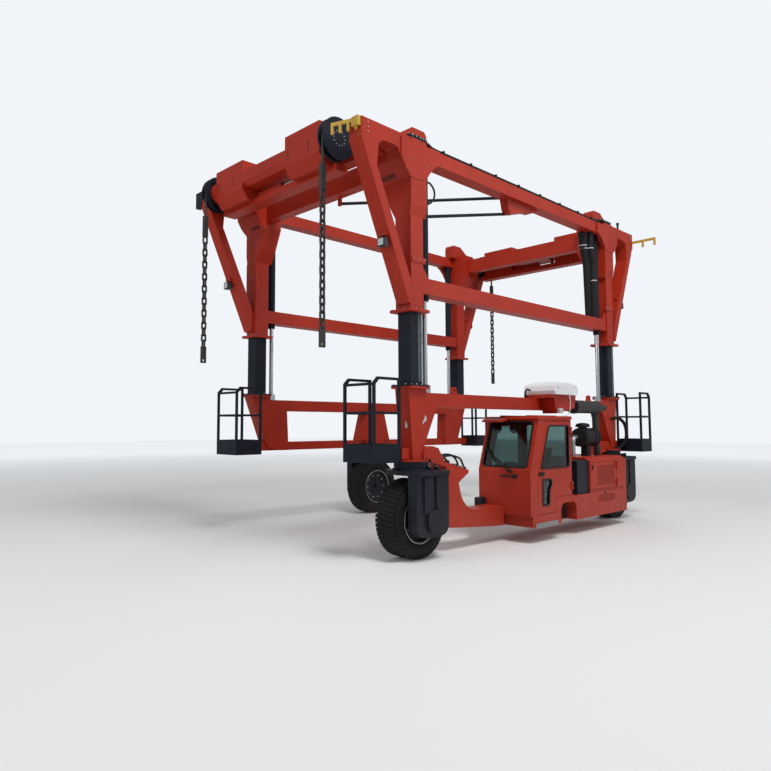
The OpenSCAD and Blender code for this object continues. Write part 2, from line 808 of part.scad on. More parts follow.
module mid_beams() {
    color(paint) lane() left_and_right() difference() {
        block([-(mast_x - sleeve_out), mast_y - 120, mid_beam_bottom],
              [mast_x - sleeve_out, mast_y + 120, mid_beam_bottom + mid_beam_depth]);
        front_and_rear() translate([lift_x, mast_y, mid_beam_bottom - 1])
            cylinder(r = barrel_r, h = mid_beam_depth + 2, $fn = 64);
    }
    color(paint) lane() left_and_right() front_and_rear()
        side_outline([[mast_x - sleeve_out, mid_beam_top - 1], [mast_x - sleeve_out, mid_beam_top + 150],
                      [mast_x - 182, mid_beam_top + 123], [mast_x - 272, mid_beam_top - 1]],
                     mast_y + 85, mast_y + 120);
}

brace_foot = gantry_bottom + 110;
brace_knee = gantry_top - 270;
brace_start = mast_x + sleeve_out;

module braces() {
    color(paint) lane() left_and_right() front_and_rear() difference() {
        side_outline([
            [brace_start, brace_foot], [brace_start + 40, brace_foot], [brace_tip, brace_knee],
            [brace_tip, gantry_top], [brace_start, gantry_top]
        ], mast_y - brace_inner, mast_y + 157);
        side_outline(concat(
            [[head_front, brace_foot + 330], [brace_tip - 289, gantry_top - 594]],
            arc_points(brace_tip - 450, gantry_top - 350, 140, 0, 90, 5),
            [[brace_tip - 634, gantry_top - 207], [head_front + 245, gantry_top - 226],
             [head_front + 198, gantry_top - 342], [head_front + 104, gantry_top - 476],
             [head_front, gantry_top - 570]]
        ), mast_y - brace_inner - 1, mast_y + 158);
        side_outline([[brace_start - 1, head_step], [head_front, head_step], [head_front, gantry_top + 1],
                      [brace_start - 1, gantry_top + 1]], mast_y - brace_inner - 1, mast_y + 158);
    }
}

rail_back = mast_x + 364;
rail_front = rail_back + 200;
rail_bottom = gantry_top - 240;
rail_top = rail_bottom + 220;

module cross_beams() {
    color(paint) lane() {
        front_and_rear() {
            block([mast_x - 80, -head_in, gantry_top - 410], [mast_x + 120, head_in, gantry_top - 110]);
            block([rail_back, -(mast_y - brace_inner), rail_bottom], [rail_front, mast_y - brace_inner, rail_top]);
            block([rail_front - 60, shift_pin_y - 20, rail_bottom - 40],
                [lift_rod_x + 40, shift_pin_y + 20, rail_bottom + 10]);
            block([lift_rod_x - 40, shift_pin_y - 20, lift_rod_z - 40],
                [lift_rod_x + 40, shift_pin_y + 20, rail_bottom - 10]);
        }
        // Lug under the front beam for the upper stay
        block([mast_x - 100, stay_lug_y - 30, gantry_top - 520], [mast_x - 60, stay_lug_y + 30, gantry_top - 405]);
    }
}

barrel_bottom = mid_beam_bottom - 80;
barrel_top = top_beam_bottom;

module lift_barrels() {
    color(dark) lane() left_and_right() front_and_rear() difference() {
        translate([lift_x, mast_y, barrel_bottom]) cylinder(r = barrel_r, h = barrel_top - barrel_bottom, $fn = 64);
        translate([lift_x, mast_y, barrel_bottom - 1])
            cylinder(r = rod_r + rod_gap, h = rod_top + lift_down + 20 - barrel_bottom, $fn = 64);
    }
}

stay_size = 50;
stay_lug_y = 300;

module top_stays() {
    color(dark) lane() {
        slanted_rod([mast_x - 80, stay_lug_y, gantry_top - 484], [600, mast_y - 70, top_beam_bottom + 15], stay_size / 2);
        slanted_rod([head_back + 20, mast_y - 140, head_step + 90], [247, mast_y - 70, top_beam_bottom - 180], stay_size / 2);
    }
}

module slanted_rod(from, to, r) {
    run = to - from;
    translate(from)
        rotate([0, acos(run[2] / norm(run)), atan2(run[1], run[0])])
            cylinder(r = r, h = norm(run), $fn = 32);
}

// Thick hose sleeves that hang in front of the rear left leg
sleeve_x = -(mast_x - 470);

module hose_sleeves() {
    color(dark) lane() {
        bundle([[sleeve_x + 230, mast_y - 60, top_beam_bottom], [sleeve_x + 190, mast_y - 60, top_beam_bottom - 270],
                [sleeve_x + 60, mast_y - 60, top_beam_bottom - 570], [sleeve_x + 30, mast_y - 60, mid_beam_top + 493],
                [sleeve_x + 10, mast_y - 60, mid_beam_top]], 75);
        bundle([[sleeve_x + 90, mast_y + 35, top_beam_bottom], [sleeve_x + 80, mast_y + 35, top_beam_bottom - 320],
                [sleeve_x - 10, mast_y + 40, top_beam_bottom - 620], [sleeve_x - 10, mast_y + 40, mid_beam_top + 393],
                [sleeve_x + 10, mast_y + 35, mid_beam_top]], 60);
    }
}

module bundle(points, r) {
    intersection() {
        for (i = [0 : len(points) - 2]) {
            slanted_rod(points[i], points[i + 1], r);
            if (i > 0) translate(points[i]) sphere(r = r, $fn = 32);
        }
        block([sleeve_x - 300, mast_y - 300, mid_beam_top], [sleeve_x + 500, mast_y + 300, top_beam_bottom]);
    }
}

lamp_z = brace_foot + 786;
lamp_x = brace_start + 40 + (lamp_z + 60 - brace_foot) * (brace_tip - brace_start - 40) / (brace_knee - brace_foot);

module work_lamps() {
    color(lamp_grey) lane() left_and_right() front_and_rear() {
        block([lamp_x + 10, mast_y, lamp_z - 60], [lamp_x + 90, mast_y + 120, lamp_z + 60]);
        block([lamp_x + 0.5, mast_y + 40, lamp_z + 20], [lamp_x + 10, mast_y + 80, lamp_z + 60]);
    }
}

// A bar with prongs that hang down from it, which holds the slack chain
comb_t = 24;
prong_w = 40;

module comb(length, prongs) {
    pitch = (length - prong_w) / (prongs - 1);
    rotate([90, 0, 0]) linear_extrude(comb_t) {
        translate([0, 40]) square([length, 50]);
        for (i = [0 : prongs - 1]) translate([i * pitch, -70]) square([prong_w, 130]);
    }
}

rear_comb_start = mast_y + 110;

module chain_combs() {
    color(ochre) lane() {
        block([brace_tip, mast_y + 20, gantry_top - 130], [brace_tip + 60, mast_y + 140, gantry_top - 2]);
        translate([brace_tip + comb_t, mast_y + 100, gantry_top - 100]) rotate([0, 0, -70]) comb(400, 4);
        translate([-brace_tip - comb_t, rear_comb_start, gantry_top - 230])
            rotate([0, 0, 90]) comb(pod_outer - rear_comb_start, 3);
    }
}

lift_rod_x = rail_front + 240;
lift_rod_z = rail_bottom - 65;
shift_pin_y = 300;

module shift_rods() {
    color(steel) lane() front_and_rear() {
        rod_along_y(22, lift_rod_x, lift_rod_z, -200, shift_pin_y - 20);
    }
}

// Lifting beams, their sheaves and chains

beam_back = rail_front + 120;
sheave_x = lift_face - 160;
sheave_z = gantry_top - 90;
housing_inner = 560;
groove_r = sheave_r - 70;
chain_rod_r = 20;

module lifting_beam() {
    housing = [
        [beam_back, sheave_z - 300], [lift_face - 110, sheave_z - 320], [lift_face, sheave_z - 160],
        [lift_face, sheave_z + 300], [beam_back, sheave_z + 300]
    ];
    for (side = sides) scale_y(side) {
        side_outline(housing, housing_inner, lift_half);
        rod_along_y(hub_plate_r, sheave_x, sheave_z, lift_half, lift_half + hub_w);
        block([rail_back, 800, rail_top + 6], [beam_back + 20, 1000, rail_top + 46]);
    }
    side_outline([[beam_back, sheave_z - 130], [lift_face - 70, sheave_z - 130], [lift_face, sheave_z - 60],
                  [lift_face, sheave_z + 110], [beam_back, sheave_z + 110]],
                 -housing_inner, housing_inner);
    block([beam_back, -lift_half - 100, sheave_z - 380], [beam_back + 220, lift_half + 100, sheave_z - 280]);
    difference() {
        rod_along_y(52, lift_rod_x, lift_rod_z, -housing_inner, 100);
        rod_along_y(23, lift_rod_x, lift_rod_z, -500, 101);
    }
}

module sheave_pair() {
    for (side = sides) scale_y(side) translate([sheave_x, lift_half + hub_w, sheave_z]) rotate([-90, 0, 0])
        rotate_extrude($fn = 96) polygon([
            [0, 0], [sheave_r, 0], [sheave_r, 20], [groove_r, 30], [groove_r, sheave_w - 30],
            [sheave_r, sheave_w - 20], [sheave_r, sheave_w], [0, sheave_w]
        ]);
}

link_pitch = link_length - 2 * chain_bar + 2;
chain_top = sheave_z - 780;
chain_rod_bottom = sheave_z - 430;
eye_r = 22;
chain_x = sheave_x + groove_r + chain_rod_r + 0.3;

// One stadium-shaped link, lying in a plane that faces the front or the side
module chain_link() {
    half = link_length / 2;
    w = 1.9 * chain_bar;
    rotate([90, 0, 0]) translate([0, 0, -chain_bar / 2]) linear_extrude(chain_bar) difference() {
        polygon([[-w * 0.55, -half], [w * 0.55, -half], [w, -half + 25], [w, half - 25],
                 [w * 0.55, half], [-w * 0.55, half], [-w, half - 25], [-w, -half + 25]]);
        polygon([[-w + chain_bar, -half + 30], [0, -half + chain_bar], [w - chain_bar, -half + 30],
                 [w - chain_bar, half - 30], [0, half - chain_bar], [-w + chain_bar, half - 30]]);
    }
}

module one_chain() {
    translate([chain_x, 0, 0]) {
        translate([0, 0, chain_rod_bottom]) cylinder(r = chain_rod_r, h = sheave_z - chain_rod_bottom, $fn = 32);
        block([-40, -28, chain_top], [40, 28, chain_rod_bottom + 10]);
        links = floor((chain_top - chain_end - 250) / link_pitch);
        for (i = [0 : links - 1])
            translate([0, 0, chain_top - link_length / 2 + chain_bar / 2 - i * link_pitch])
                rotate([0, 0, 90 * (i % 2)]) chain_link();
        low = chain_top - links * link_pitch;
        difference() {
            block([-45, -20, chain_end], [45, 20, low]);
            rod_along_y(eye_r, 0, chain_end + 45, -21, 21);
        }
    }
}

module chain_pair() {
    for (side = sides)
        translate([0, side * (lift_half + hub_w + sheave_w / 2), 0]) one_chain();
}

module lifting_set(end) {
    lane() translate([0, -lift_offset, 0]) scale_x(end) children();
}

module lifting_beam_front() { color(paint) lifting_set(1) lifting_beam(); }
module lifting_beam_rear() { color(paint) lifting_set(-1) lifting_beam(); }
module sheaves_front() { color(dark) lifting_set(1) sheave_pair(); }
module sheaves_rear() { color(dark) lifting_set(-1) sheave_pair(); }
module chains_front() { color(dark) lifting_set(1) chain_pair(); }
module chains_rear() { color(dark) lifting_set(-1) chain_pair(); }

// Forks and wheels, drawn about the steering axis with the arm on the +Y side

arm_in = tyre_w / 2 + 50;
arm_out = fork_arm_outer - mast_y;

// Fork: a top plate under the ring, an arm with the drive hub and a stub axle
module fork() {
    translate([0, 0, fork_plate_top]) cylinder(r = ring_r, h = ring_split - ring_gap - fork_plate_top, $fn = 96);
    translate([0, 0, fork_plate_top - 20]) cylinder(r = ring_r + 30, h = 35, $fn = 96);
    rounded_plate = [[-260, -260], [260, -260], [345, 60], [345, arm_out], [-345, arm_out], [-345, 60]];
    translate([0, 0, fork_plate_bottom]) linear_extrude(fork_plate_top - fork_plate_bottom) rounded(60)
        polygon(rounded_plate);
    arm_top = fork_plate_bottom + 10;
    side_outline(concat([[-330, arm_top], [330, arm_top], [330, 560]], arc_points(180, 480, 150, 20, -70, 4),
        [[110, 320], [-110, 320]], arc_points(-180, 480, 150, -110, -200, 4), [[-330, 560]]), arm_in, arm_out - 40);
    side_outline([[-200, arm_top - 30], [-40, arm_top - 30], [-40, 760], [-80, 640], [-200, 640]], arm_in, arm_out - 18);
    side_outline([[40, arm_top - 30], [200, arm_top - 30], [200, 640], [80, 640], [40, 760]], arm_in, arm_out - 18);
    translate([0, arm_out, tyre_r]) rotate([90, 0, 0]) cylinder(r = 150, h = 100, $fn = 64);
    translate([0, arm_in, tyre_r]) rotate([90, 0, 0])
        cylinder(r = axle_r, h = arm_in + 60, $fn = 64);
}

module tyre() {
    half = tyre_w / 2;
    translate([0, 0, tyre_r]) rotate([90, 0, 0]) rotate_extrude($fn = 96) polygon([
        [rim_r, -half + 30], [rim_r + 70, -half], [tyre_r - 70, -half], [tyre_r, -half + 50],
        [tyre_r, half - 50], [tyre_r - 70, half], [rim_r + 70, half], [rim_r, half - 30]
    ]);
}

module rim() {
    half = tyre_w / 2;
    translate([0, 0, tyre_r]) rotate([90, 0, 0]) rotate_extrude($fn = 96) polygon([
        [axle_r + axle_gap, -half + 30], [150, -half + 30], [170, -half + 110], [290, -half + 90],
        [305, -half + 20], [rim_r, -half + 20], [rim_r, half - 20], [305, half - 20],
        [290, half - 60], [170, half - 100], [150, half - 100], [axle_r + axle_gap, half - 100]
    ]);
}

module at_wheel(index) {
    spot = wheel_spots[index];
    lane() translate([spot[1], spot[2], 0]) scale_y(spot[3]) children();
}

module fork_front() { color(dark) at_wheel(0) fork(); }
module fork_rear() { color(dark) at_wheel(1) fork(); }
module fork_right() { color(dark) at_wheel(2) fork(); }
module tyre_front() { color(tyre_black) at_wheel(0) tyre(); }
module tyre_rear() { color(tyre_black) at_wheel(1) tyre(); }
module tyre_right() { color(tyre_black) at_wheel(2) tyre(); }
module rim_front() { color(dark) at_wheel(0) rim(); }
module rim_rear() { color(dark) at_wheel(1) rim(); }
module rim_right() { color(dark) at_wheel(2) rim(); }

// Cab door

module cab_door() {
    color(paint) lane() cab_hinges() moving_knuckle();
    color(paint) lane() difference() {
        rounded_side_outline(door_outline(door_gap), 20, pod_outer - cab_wall, pod_outer);
        rounded_side_outline(window_outline(frame_w), window_r, pod_outer - cab_wall - 1, pod_outer + 1);
        rounded_side_outline(boot_window, 35, pod_outer - cab_wall - 1, pod_outer + 1);
    }
}

module door_glass() {
    color(glass) lane() {
        rounded_side_outline(window_outline(frame_w), window_r, pod_outer - 20, pod_outer - 20 + glass_t);
        rounded_side_outline(boot_window, 35, pod_outer - 20, pod_outer - 20 + glass_t);
    }
}

side_frame_left();
side_frame_right();
slewing_rings();
masts();
lift_rods();
platforms();
pod_frame();
cab_shell();
cab_roof();
cab_glass();
operator_seat();
steering_console();
engine_housing();
engine_block();
battery_box();
muffler();
air_cleaner();
ac_unit();
upper_legs();
top_beams();
mid_beams();
braces();
cross_beams();
lift_barrels();
top_stays();
hose_sleeves();
work_lamps();
chain_combs();
shift_rods();
lifting_beam_front();
sheaves_front();
chains_front();
lifting_beam_rear();
sheaves_rear();
chains_rear();
fork_front();
tyre_front();
rim_front();
fork_rear();
tyre_rear();
rim_rear();
fork_right();
tyre_right();
rim_right();
cab_door();
door_glass();
engine_door();
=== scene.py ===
import json
import math

import bmesh
import bpy
from mathutils import Matrix, Vector


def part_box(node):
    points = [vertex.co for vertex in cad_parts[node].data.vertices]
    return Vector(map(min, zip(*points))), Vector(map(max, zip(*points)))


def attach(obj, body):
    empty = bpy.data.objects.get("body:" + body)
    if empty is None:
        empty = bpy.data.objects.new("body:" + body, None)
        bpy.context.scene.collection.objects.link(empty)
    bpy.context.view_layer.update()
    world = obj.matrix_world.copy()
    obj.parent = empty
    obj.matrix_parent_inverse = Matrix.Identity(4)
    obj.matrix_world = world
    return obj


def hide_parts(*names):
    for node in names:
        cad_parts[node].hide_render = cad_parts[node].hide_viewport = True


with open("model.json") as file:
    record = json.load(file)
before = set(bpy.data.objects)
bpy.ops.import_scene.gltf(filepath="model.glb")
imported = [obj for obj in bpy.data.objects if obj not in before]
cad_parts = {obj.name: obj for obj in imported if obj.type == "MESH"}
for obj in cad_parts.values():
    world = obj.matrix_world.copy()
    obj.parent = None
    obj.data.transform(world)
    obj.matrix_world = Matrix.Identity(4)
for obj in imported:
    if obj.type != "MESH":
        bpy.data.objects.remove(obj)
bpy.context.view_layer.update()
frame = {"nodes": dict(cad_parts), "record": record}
nodes = frame["nodes"]
print("frame loaded")

camera = {
    "place": (9.821, 7.8935, 1.826),
    "turn": (94.31, 0.0, 137.15),  # degrees: level tilt up, roll, heading
    "lens": 30.64,
    "shift": (0.0483, -0.0138),
    "farClip": 200,
}
light = {
    "skyColour": (0.93, 0.96, 1.0, 1),
    "skyStrength": 0.42,
    "skySeen": 0.95,  # strength where the camera meets the sky
    "floorColour": (0.78, 0.78, 0.77, 1),
    "floorRough": 0.85,
    "floorHalf": 60,
    "key": {"place": (4, 9, 16), "size": 6, "power": 1700, "aim": (0, 0, 2)},
    "fill": {"place": (-9, 14, 9), "size": 10, "power": 300, "aim": (0, 0, 2.5)},
    "far": {"start": 9, "end": 32, "glow": 0.55},
    "front": {"place": (16, -2, 8), "size": 8, "power": 420, "aim": (0, 0, 3)},
    "back": {"place": (-14, -10, 12), "size": 12, "power": 450, "aim": (0, 0, 3)},
}
mast = {"x": 2.936, "y": 1.863}
laneShift = -0.1125  # where the lane's middle lies across the frame
corners = [(sx, sy) for sx in (1, -1) for sy in (1, -1)]
endSigns = {"front": 1, "rear": -1}


def laneToRow(y):
    return y + laneShift


def rowPoint(x, y, z):
    return Vector((x, laneToRow(y), z))


def placeInScene(name, data):
    obj = bpy.data.objects.new(name, data)
    bpy.context.scene.collection.objects.link(obj)
    return obj


# Node helpers


def feed(tree, socket, value):
    if isinstance(value, (int, float, tuple)):
        socket.default_value = value
    else:
        tree.links.new(value, socket)


def mathNode(tree, operation, a, b, clamp=False):
    node = tree.nodes.new("ShaderNodeMath")
    node.operation = operation
    node.use_clamp = clamp
    feed(tree, node.inputs[0], a)
    feed(tree, node.inputs[1], b)
    return node.outputs[0]


def noiseNode(tree, vector, scale, detail):
    node = tree.nodes.new("ShaderNodeTexNoise")
    node.inputs["Detail"].default_value = detail
    feed(tree, node.inputs["Vector"], vector)
    feed(tree, node.inputs["Scale"], scale)
    return node.outputs["Fac"]


def mixColour(tree, factor, a, b):
    node = tree.nodes.new("ShaderNodeMix")
    node.data_type = "RGBA"
    for label, value in (("Factor", factor), ("A", a), ("B", b)):
        feed(tree, node.inputs[label], value)
    return node.outputs["Result"]


def rangeNode(tree, value, limits):
    node = tree.nodes.new("ShaderNodeMapRange")
    for label, limit in limits.items():
        node.inputs[label].default_value = limit
    feed(tree, node.inputs["Value"], value)
    return node.outputs["Result"]


def newMaterial(name, values):
    mat = bpy.data.materials.new(name)
    mat.use_nodes = True
    inputs = mat.node_tree.nodes["Principled BSDF"].inputs
    for label, value in values.items():
        inputs[label].default_value = value
    return mat, mat.node_tree, inputs


# Camera, floor and light


def makeCamera():
    data = bpy.data.cameras.new("photoCamera")
    data.lens = camera["lens"]
    data.shift_x, data.shift_y = camera["shift"]
    data.clip_end = camera["farClip"]
    obj = placeInScene("photoCamera", data)
    obj.location = camera["place"]
    obj.rotation_euler = [math.radians(a) for a in camera["turn"]]
    bpy.context.scene.camera = obj


def makeLamp(name, lamp):
    data = bpy.data.lights.new(name, "AREA")
    data.shape = "DISK"
    data.size = lamp["size"]
    data.energy = lamp["power"]
    obj = placeInScene(name, data)
    obj.location = lamp["place"]
    aim = Vector(lamp["aim"]) - Vector(lamp["place"])
    obj.rotation_euler = aim.to_track_quat("-Z", "Y").to_euler()


def makeWorld():
    world = bpy.data.worlds.new("studio")
    bpy.context.scene.world = world
    world.use_nodes = True
    tree = world.node_tree
    back = tree.nodes["Background"]
    path = tree.nodes.new("ShaderNodeLightPath")
    seen = mathNode(tree, "MAXIMUM", path.outputs["Is Camera Ray"], path.outputs["Is Transmission Ray"])
    strength = rangeNode(tree, seen, {"To Min": light["skyStrength"], "To Max": light["skySeen"]})
    feed(tree, back.inputs["Strength"], strength)
    back.inputs["Color"].default_value = light["skyColour"]


def makeFloor():
    mesh = bpy.data.meshes.new("floor")
    bm = bmesh.new()
    bmesh.ops.create_grid(bm, x_segments=1, y_segments=1, size=light["floorHalf"])
    bm.to_mesh(mesh)
    bm.free()
    mat, tree, inputs = newMaterial("floorPaint", {
        "Base Color": light["floorColour"], "Roughness": light["floorRough"],
        "Emission Color": light["skyColour"],
    })
    place = tree.nodes.new("ShaderNodeTexCoord")
    reach = tree.nodes.new("ShaderNodeVectorMath")
    reach.operation = "LENGTH"
    feed(tree, reach.inputs[0], place.outputs["Object"])
    far = light["far"]
    fade = rangeNode(tree, reach.outputs["Value"],
                     {"From Min": far["start"], "From Max": far["end"], "To Max": far["glow"]})
    path = tree.nodes.new("ShaderNodeLightPath")
    glow = mathNode(tree, "MULTIPLY", fade, path.outputs["Is Camera Ray"])
    feed(tree, inputs["Emission Strength"], glow)
    mesh.materials.append(mat)
    placeInScene("floor", mesh)


bpy.context.scene.view_settings.view_transform = "Standard"
makeCamera()
makeWorld()
makeFloor()
for lampName in ("key", "fill", "front", "back"):
    makeLamp(lampName, light[lampName])
print("camera, floor and light made")

# Shader groups

groupLook = {
    "dust": {"patchScale": 2.3, "speckScale": 38, "fall": 1.6, "patchGain": 1.6, "speckCut": 0.56,
             "speckGain": 0.5, "roughGain": 0.45},
    "wear": {"radius": 0.008, "samples": 4, "edgeGain": 5, "cut": 0.46, "gain": 9},
    "edge": 0.006,
    "bumpDepth": 0.004,
}


def newGroup(name, inputs, outputs):
    group = bpy.data.node_groups.new(name, "ShaderNodeTree")
    for label, kind, value in inputs:
        socket = group.interface.new_socket(label, in_out="INPUT", socket_type="NodeSocket" + kind)
        if value is not None:
            socket.default_value = value
    for label, kind in outputs:
        group.interface.new_socket(label, in_out="OUTPUT", socket_type="NodeSocket" + kind)
    inside, outside = group.nodes.new("NodeGroupInput"), group.nodes.new("NodeGroupOutput")
    place = group.nodes.new("ShaderNodeTexCoord").outputs["Object"]
    return group, inside.outputs, outside.inputs, place


def makeDustGroup():
    look = groupLook["dust"]
    group, inside, outside, place = newGroup(
        "roadDust",
        [("Colour", "Color", None), ("Dust Colour", "Color", (0.30, 0.25, 0.19, 1)), ("Amount", "Float", 0.5),
         ("Top", "Float", 1.6), ("Base Rough", "Float", 0.4)],
        [("Colour", "Color"), ("Roughness", "Float")],
    )
    split = group.nodes.new("ShaderNodeSeparateXYZ")
    feed(group, split.inputs[0], place)
    patches = mathNode(group, "MULTIPLY", noiseNode(group, place, look["patchScale"], 8), look["patchGain"])
    specks = mathNode(group, "SUBTRACT", noiseNode(group, place, look["speckScale"], 6), look["speckCut"])
    height = mathNode(group, "DIVIDE", split.outputs["Z"], inside["Top"])
    low = mathNode(group, "POWER", mathNode(group, "SUBTRACT", 1, height, clamp=True), look["fall"])
    mask = mathNode(group, "MULTIPLY", low, patches)
    mask = mathNode(group, "ADD", mask, mathNode(group, "MULTIPLY", specks, look["speckGain"]))
    mask = mathNode(group, "MULTIPLY", mask, inside["Amount"], clamp=True)
    rougher = mathNode(group, "MULTIPLY", mask, look["roughGain"])
    feed(group, outside["Colour"], mixColour(group, mask, inside["Colour"], inside["Dust Colour"]))
    feed(group, outside["Roughness"], mathNode(group, "ADD", inside["Base Rough"], rougher, clamp=True))
    return group


def makeWearGroup():
    look = groupLook["wear"]
    group, inside, outside, place = newGroup(
        "edgeWear",
        [("Colour", "Color", None), ("Worn Colour", "Color", (0.10, 0.10, 0.10, 1)), ("Amount", "Float", 0.6),
         ("Scale", "Float", 14)],
        [("Colour", "Color"), ("Mask", "Float")],
    )
    bevel = group.nodes.new("ShaderNodeBevel")
    bevel.samples = look["samples"]
    bevel.inputs["Radius"].default_value = look["radius"]
    geometry = group.nodes.new("ShaderNodeNewGeometry")
    dot = group.nodes.new("ShaderNodeVectorMath")
    dot.operation = "DOT_PRODUCT"
    feed(group, dot.inputs[0], bevel.outputs["Normal"])
    feed(group, dot.inputs[1], geometry.outputs["Normal"])
    bend = mathNode(group, "SUBTRACT", 1, dot.outputs["Value"])
    edge = mathNode(group, "MULTIPLY", bend, look["edgeGain"], clamp=True)
    breakUp = mathNode(group, "SUBTRACT", noiseNode(group, place, inside["Scale"], 6), look["cut"])
    mask = mathNode(group, "MULTIPLY", edge, mathNode(group, "MULTIPLY", breakUp, look["gain"], clamp=True))
    mask = mathNode(group, "MULTIPLY", mask, inside["Amount"], clamp=True)
    feed(group, outside["Colour"], mixColour(group, mask, inside["Colour"], inside["Worn Colour"]))
    feed(group, outside["Mask"], mask)
    return group


def makeGrainGroup():
    group, inside, outside, place = newGroup(
        "surfaceGrain",
        [("Fine Scale", "Float", 300), ("Coarse Scale", "Float", 6), ("Coarse Share", "Float", 0.6)],
        [("Height", "Float")],
    )
    fine = noiseNode(group, place, inside["Fine Scale"], 2)
    coarse = noiseNode(group, place, inside["Coarse Scale"], 3)
    height = mathNode(group, "ADD", fine, mathNode(group, "MULTIPLY", coarse, inside["Coarse Share"]))
    feed(group, outside["Height"], height)
    return group


def makeMottleGroup():
    group, inside, outside, place = newGroup(
        "paintMottle",
        [("Colour A", "Color", None), ("Colour B", "Color", None), ("Scale", "Float", 1.4),
         ("Contrast", "Float", 2.2)],
        [("Colour", "Color")],
    )
    patches = mathNode(group, "SUBTRACT", noiseNode(group, place, inside["Scale"], 5), 0.5)
    mask = mathNode(group, "ADD", mathNode(group, "MULTIPLY", patches, inside["Contrast"]), 0.5, clamp=True)
    feed(group, outside["Colour"], mixColour(group, mask, inside["Colour A"], inside["Colour B"]))
    return group


dustGroup = makeDustGroup()
wearGroup = makeWearGroup()
grainGroup = makeGrainGroup()
mottleGroup = makeMottleGroup()


def placeGroup(tree, group, values):
    node = tree.nodes.new("ShaderNodeGroup")
    node.node_tree = group
    for label, value in values.items():
        feed(tree, node.inputs[label], value)
    return node.outputs


def makeFinish(name, look):
    mat, tree, inputs = newMaterial(name, look.get("shader", {}))
    colour = placeGroup(tree, mottleGroup, {
        "Colour A": look["colourA"], "Colour B": look["colourB"], "Scale": look.get("patchScale", 1.4),
    })["Colour"]
    if "wornColour" in look:
        colour = placeGroup(tree, wearGroup, {
            "Worn Colour": look["wornColour"], "Amount": look["wear"], "Scale": 14, "Colour": colour,
        })["Colour"]
    dust = placeGroup(tree, dustGroup, {
        "Amount": look["dust"], "Top": look.get("dustTop", 1.6), "Base Rough": look["rough"],
        "Colour": colour,
    })
    feed(tree, inputs["Base Color"], dust["Colour"])
    feed(tree, inputs["Roughness"], dust["Roughness"])
    grain = placeGroup(tree, grainGroup, {
        "Fine Scale": look.get("fineScale", 300), "Coarse Scale": look.get("coarseScale", 6),
    })
    rounded = tree.nodes.new("ShaderNodeBevel")
    rounded.samples = groupLook["wear"]["samples"]
    rounded.inputs["Radius"].default_value = groupLook["edge"]
    bump = tree.nodes.new("ShaderNodeBump")
    bump.inputs["Strength"].default_value = look.get("bump", 0.15)
    bump.inputs["Distance"].default_value = groupLook["bumpDepth"]
    feed(tree, bump.inputs["Height"], grain["Height"])
    feed(tree, bump.inputs["Normal"], rounded.outputs["Normal"])
    feed(tree, inputs["Normal"], bump.outputs["Normal"])
    return mat


finishes = {
    "orange_paint": {
        "colourA": (0.41, 0.026, 0.008, 1), "colourB": (0.34, 0.020, 0.007, 1), "rough": 0.44, "dust": 0.10,
        "wornColour": (0.20, 0.04, 0.025, 1), "wear": 0.5, "bump": 0.08, "coarseScale": 3,
        "shader": {"Specular IOR Level": 0.22, "Coat Weight": 0.05, "Coat Roughness": 0.15},
    },
    "dark_paint": {
        "colourA": (0.008, 0.012, 0.022, 1), "colourB": (0.005, 0.007, 0.013, 1), "rough": 0.46, "dust": 0.06,
        "wornColour": (0.10, 0.10, 0.11, 1), "wear": 0.4, "bump": 0.1, "shader": {"Specular IOR Level": 0.2},
    },
    "bare_steel": {
        "colourA": (0.48, 0.48, 0.49, 1), "colourB": (0.34, 0.34, 0.35, 1), "rough": 0.35, "dust": 0.3,
        "bump": 0.2, "shader": {"Metallic": 1.0},
    },
    "chrome_rod": {
        "colourA": (0.72, 0.73, 0.75, 1), "colourB": (0.62, 0.63, 0.66, 1), "rough": 0.14, "dust": 0.15,
        "bump": 0.03, "shader": {"Metallic": 1.0},
    },
    "ochre_paint": {
        "colourA": (0.58, 0.36, 0.03, 1), "colourB": (0.48, 0.28, 0.025, 1), "rough": 0.45, "dust": 0.3,
        "wornColour": (0.12, 0.08, 0.05, 1), "wear": 0.6,
    },
    "white_cover": {
        "colourA": (0.78, 0.79, 0.80, 1), "colourB": (0.70, 0.71, 0.72, 1), "rough": 0.3, "dust": 0.2,
        "bump": 0.05,
    },
    "black_plastic": {
        "colourA": (0.010, 0.010, 0.012, 1), "colourB": (0.016, 0.016, 0.017, 1), "rough": 0.55, "dust": 0.2,
        "fineScale": 500, "bump": 0.3, "shader": {"Specular IOR Level": 0.18},
    },
    "tyre_rubber": {
        "colourA": (0.009, 0.009, 0.011, 1), "colourB": (0.014, 0.013, 0.014, 1), "rough": 0.72, "dust": 0.08,
        "dustTop": 0.4, "fineScale": 220, "bump": 0.4, "shader": {"Specular IOR Level": 0.16},
    },
    "cast_metal": {
        "colourA": (0.035, 0.036, 0.038, 1), "colourB": (0.060, 0.055, 0.050, 1), "rough": 0.5, "dust": 0.3,
        "wornColour": (0.25, 0.25, 0.25, 1), "wear": 0.5, "fineScale": 160, "bump": 0.4,
        "shader": {"Metallic": 0.6},
    },
    "lamp_housing": {
        "colourA": (0.020, 0.021, 0.024, 1), "colourB": (0.030, 0.031, 0.034, 1), "rough": 0.45, "dust": 0.1,
    },
    "lamp_lens": {
        "colourA": (0.55, 0.57, 0.58, 1), "colourB": (0.46, 0.48, 0.49, 1), "rough": 0.2, "dust": 0.1,
    },
    "seam_shade": {
        "colourA": (0.085, 0.008, 0.004, 1), "colourB": (0.085, 0.008, 0.004, 1), "rough": 0.7, "dust": 0.1,
    },
    "slide_steel": {
        "colourA": (0.10, 0.13, 0.17, 1), "colourB": (0.16, 0.18, 0.21, 1), "rough": 0.3, "dust": 0.1,
        "patchScale": 5,
    },
}

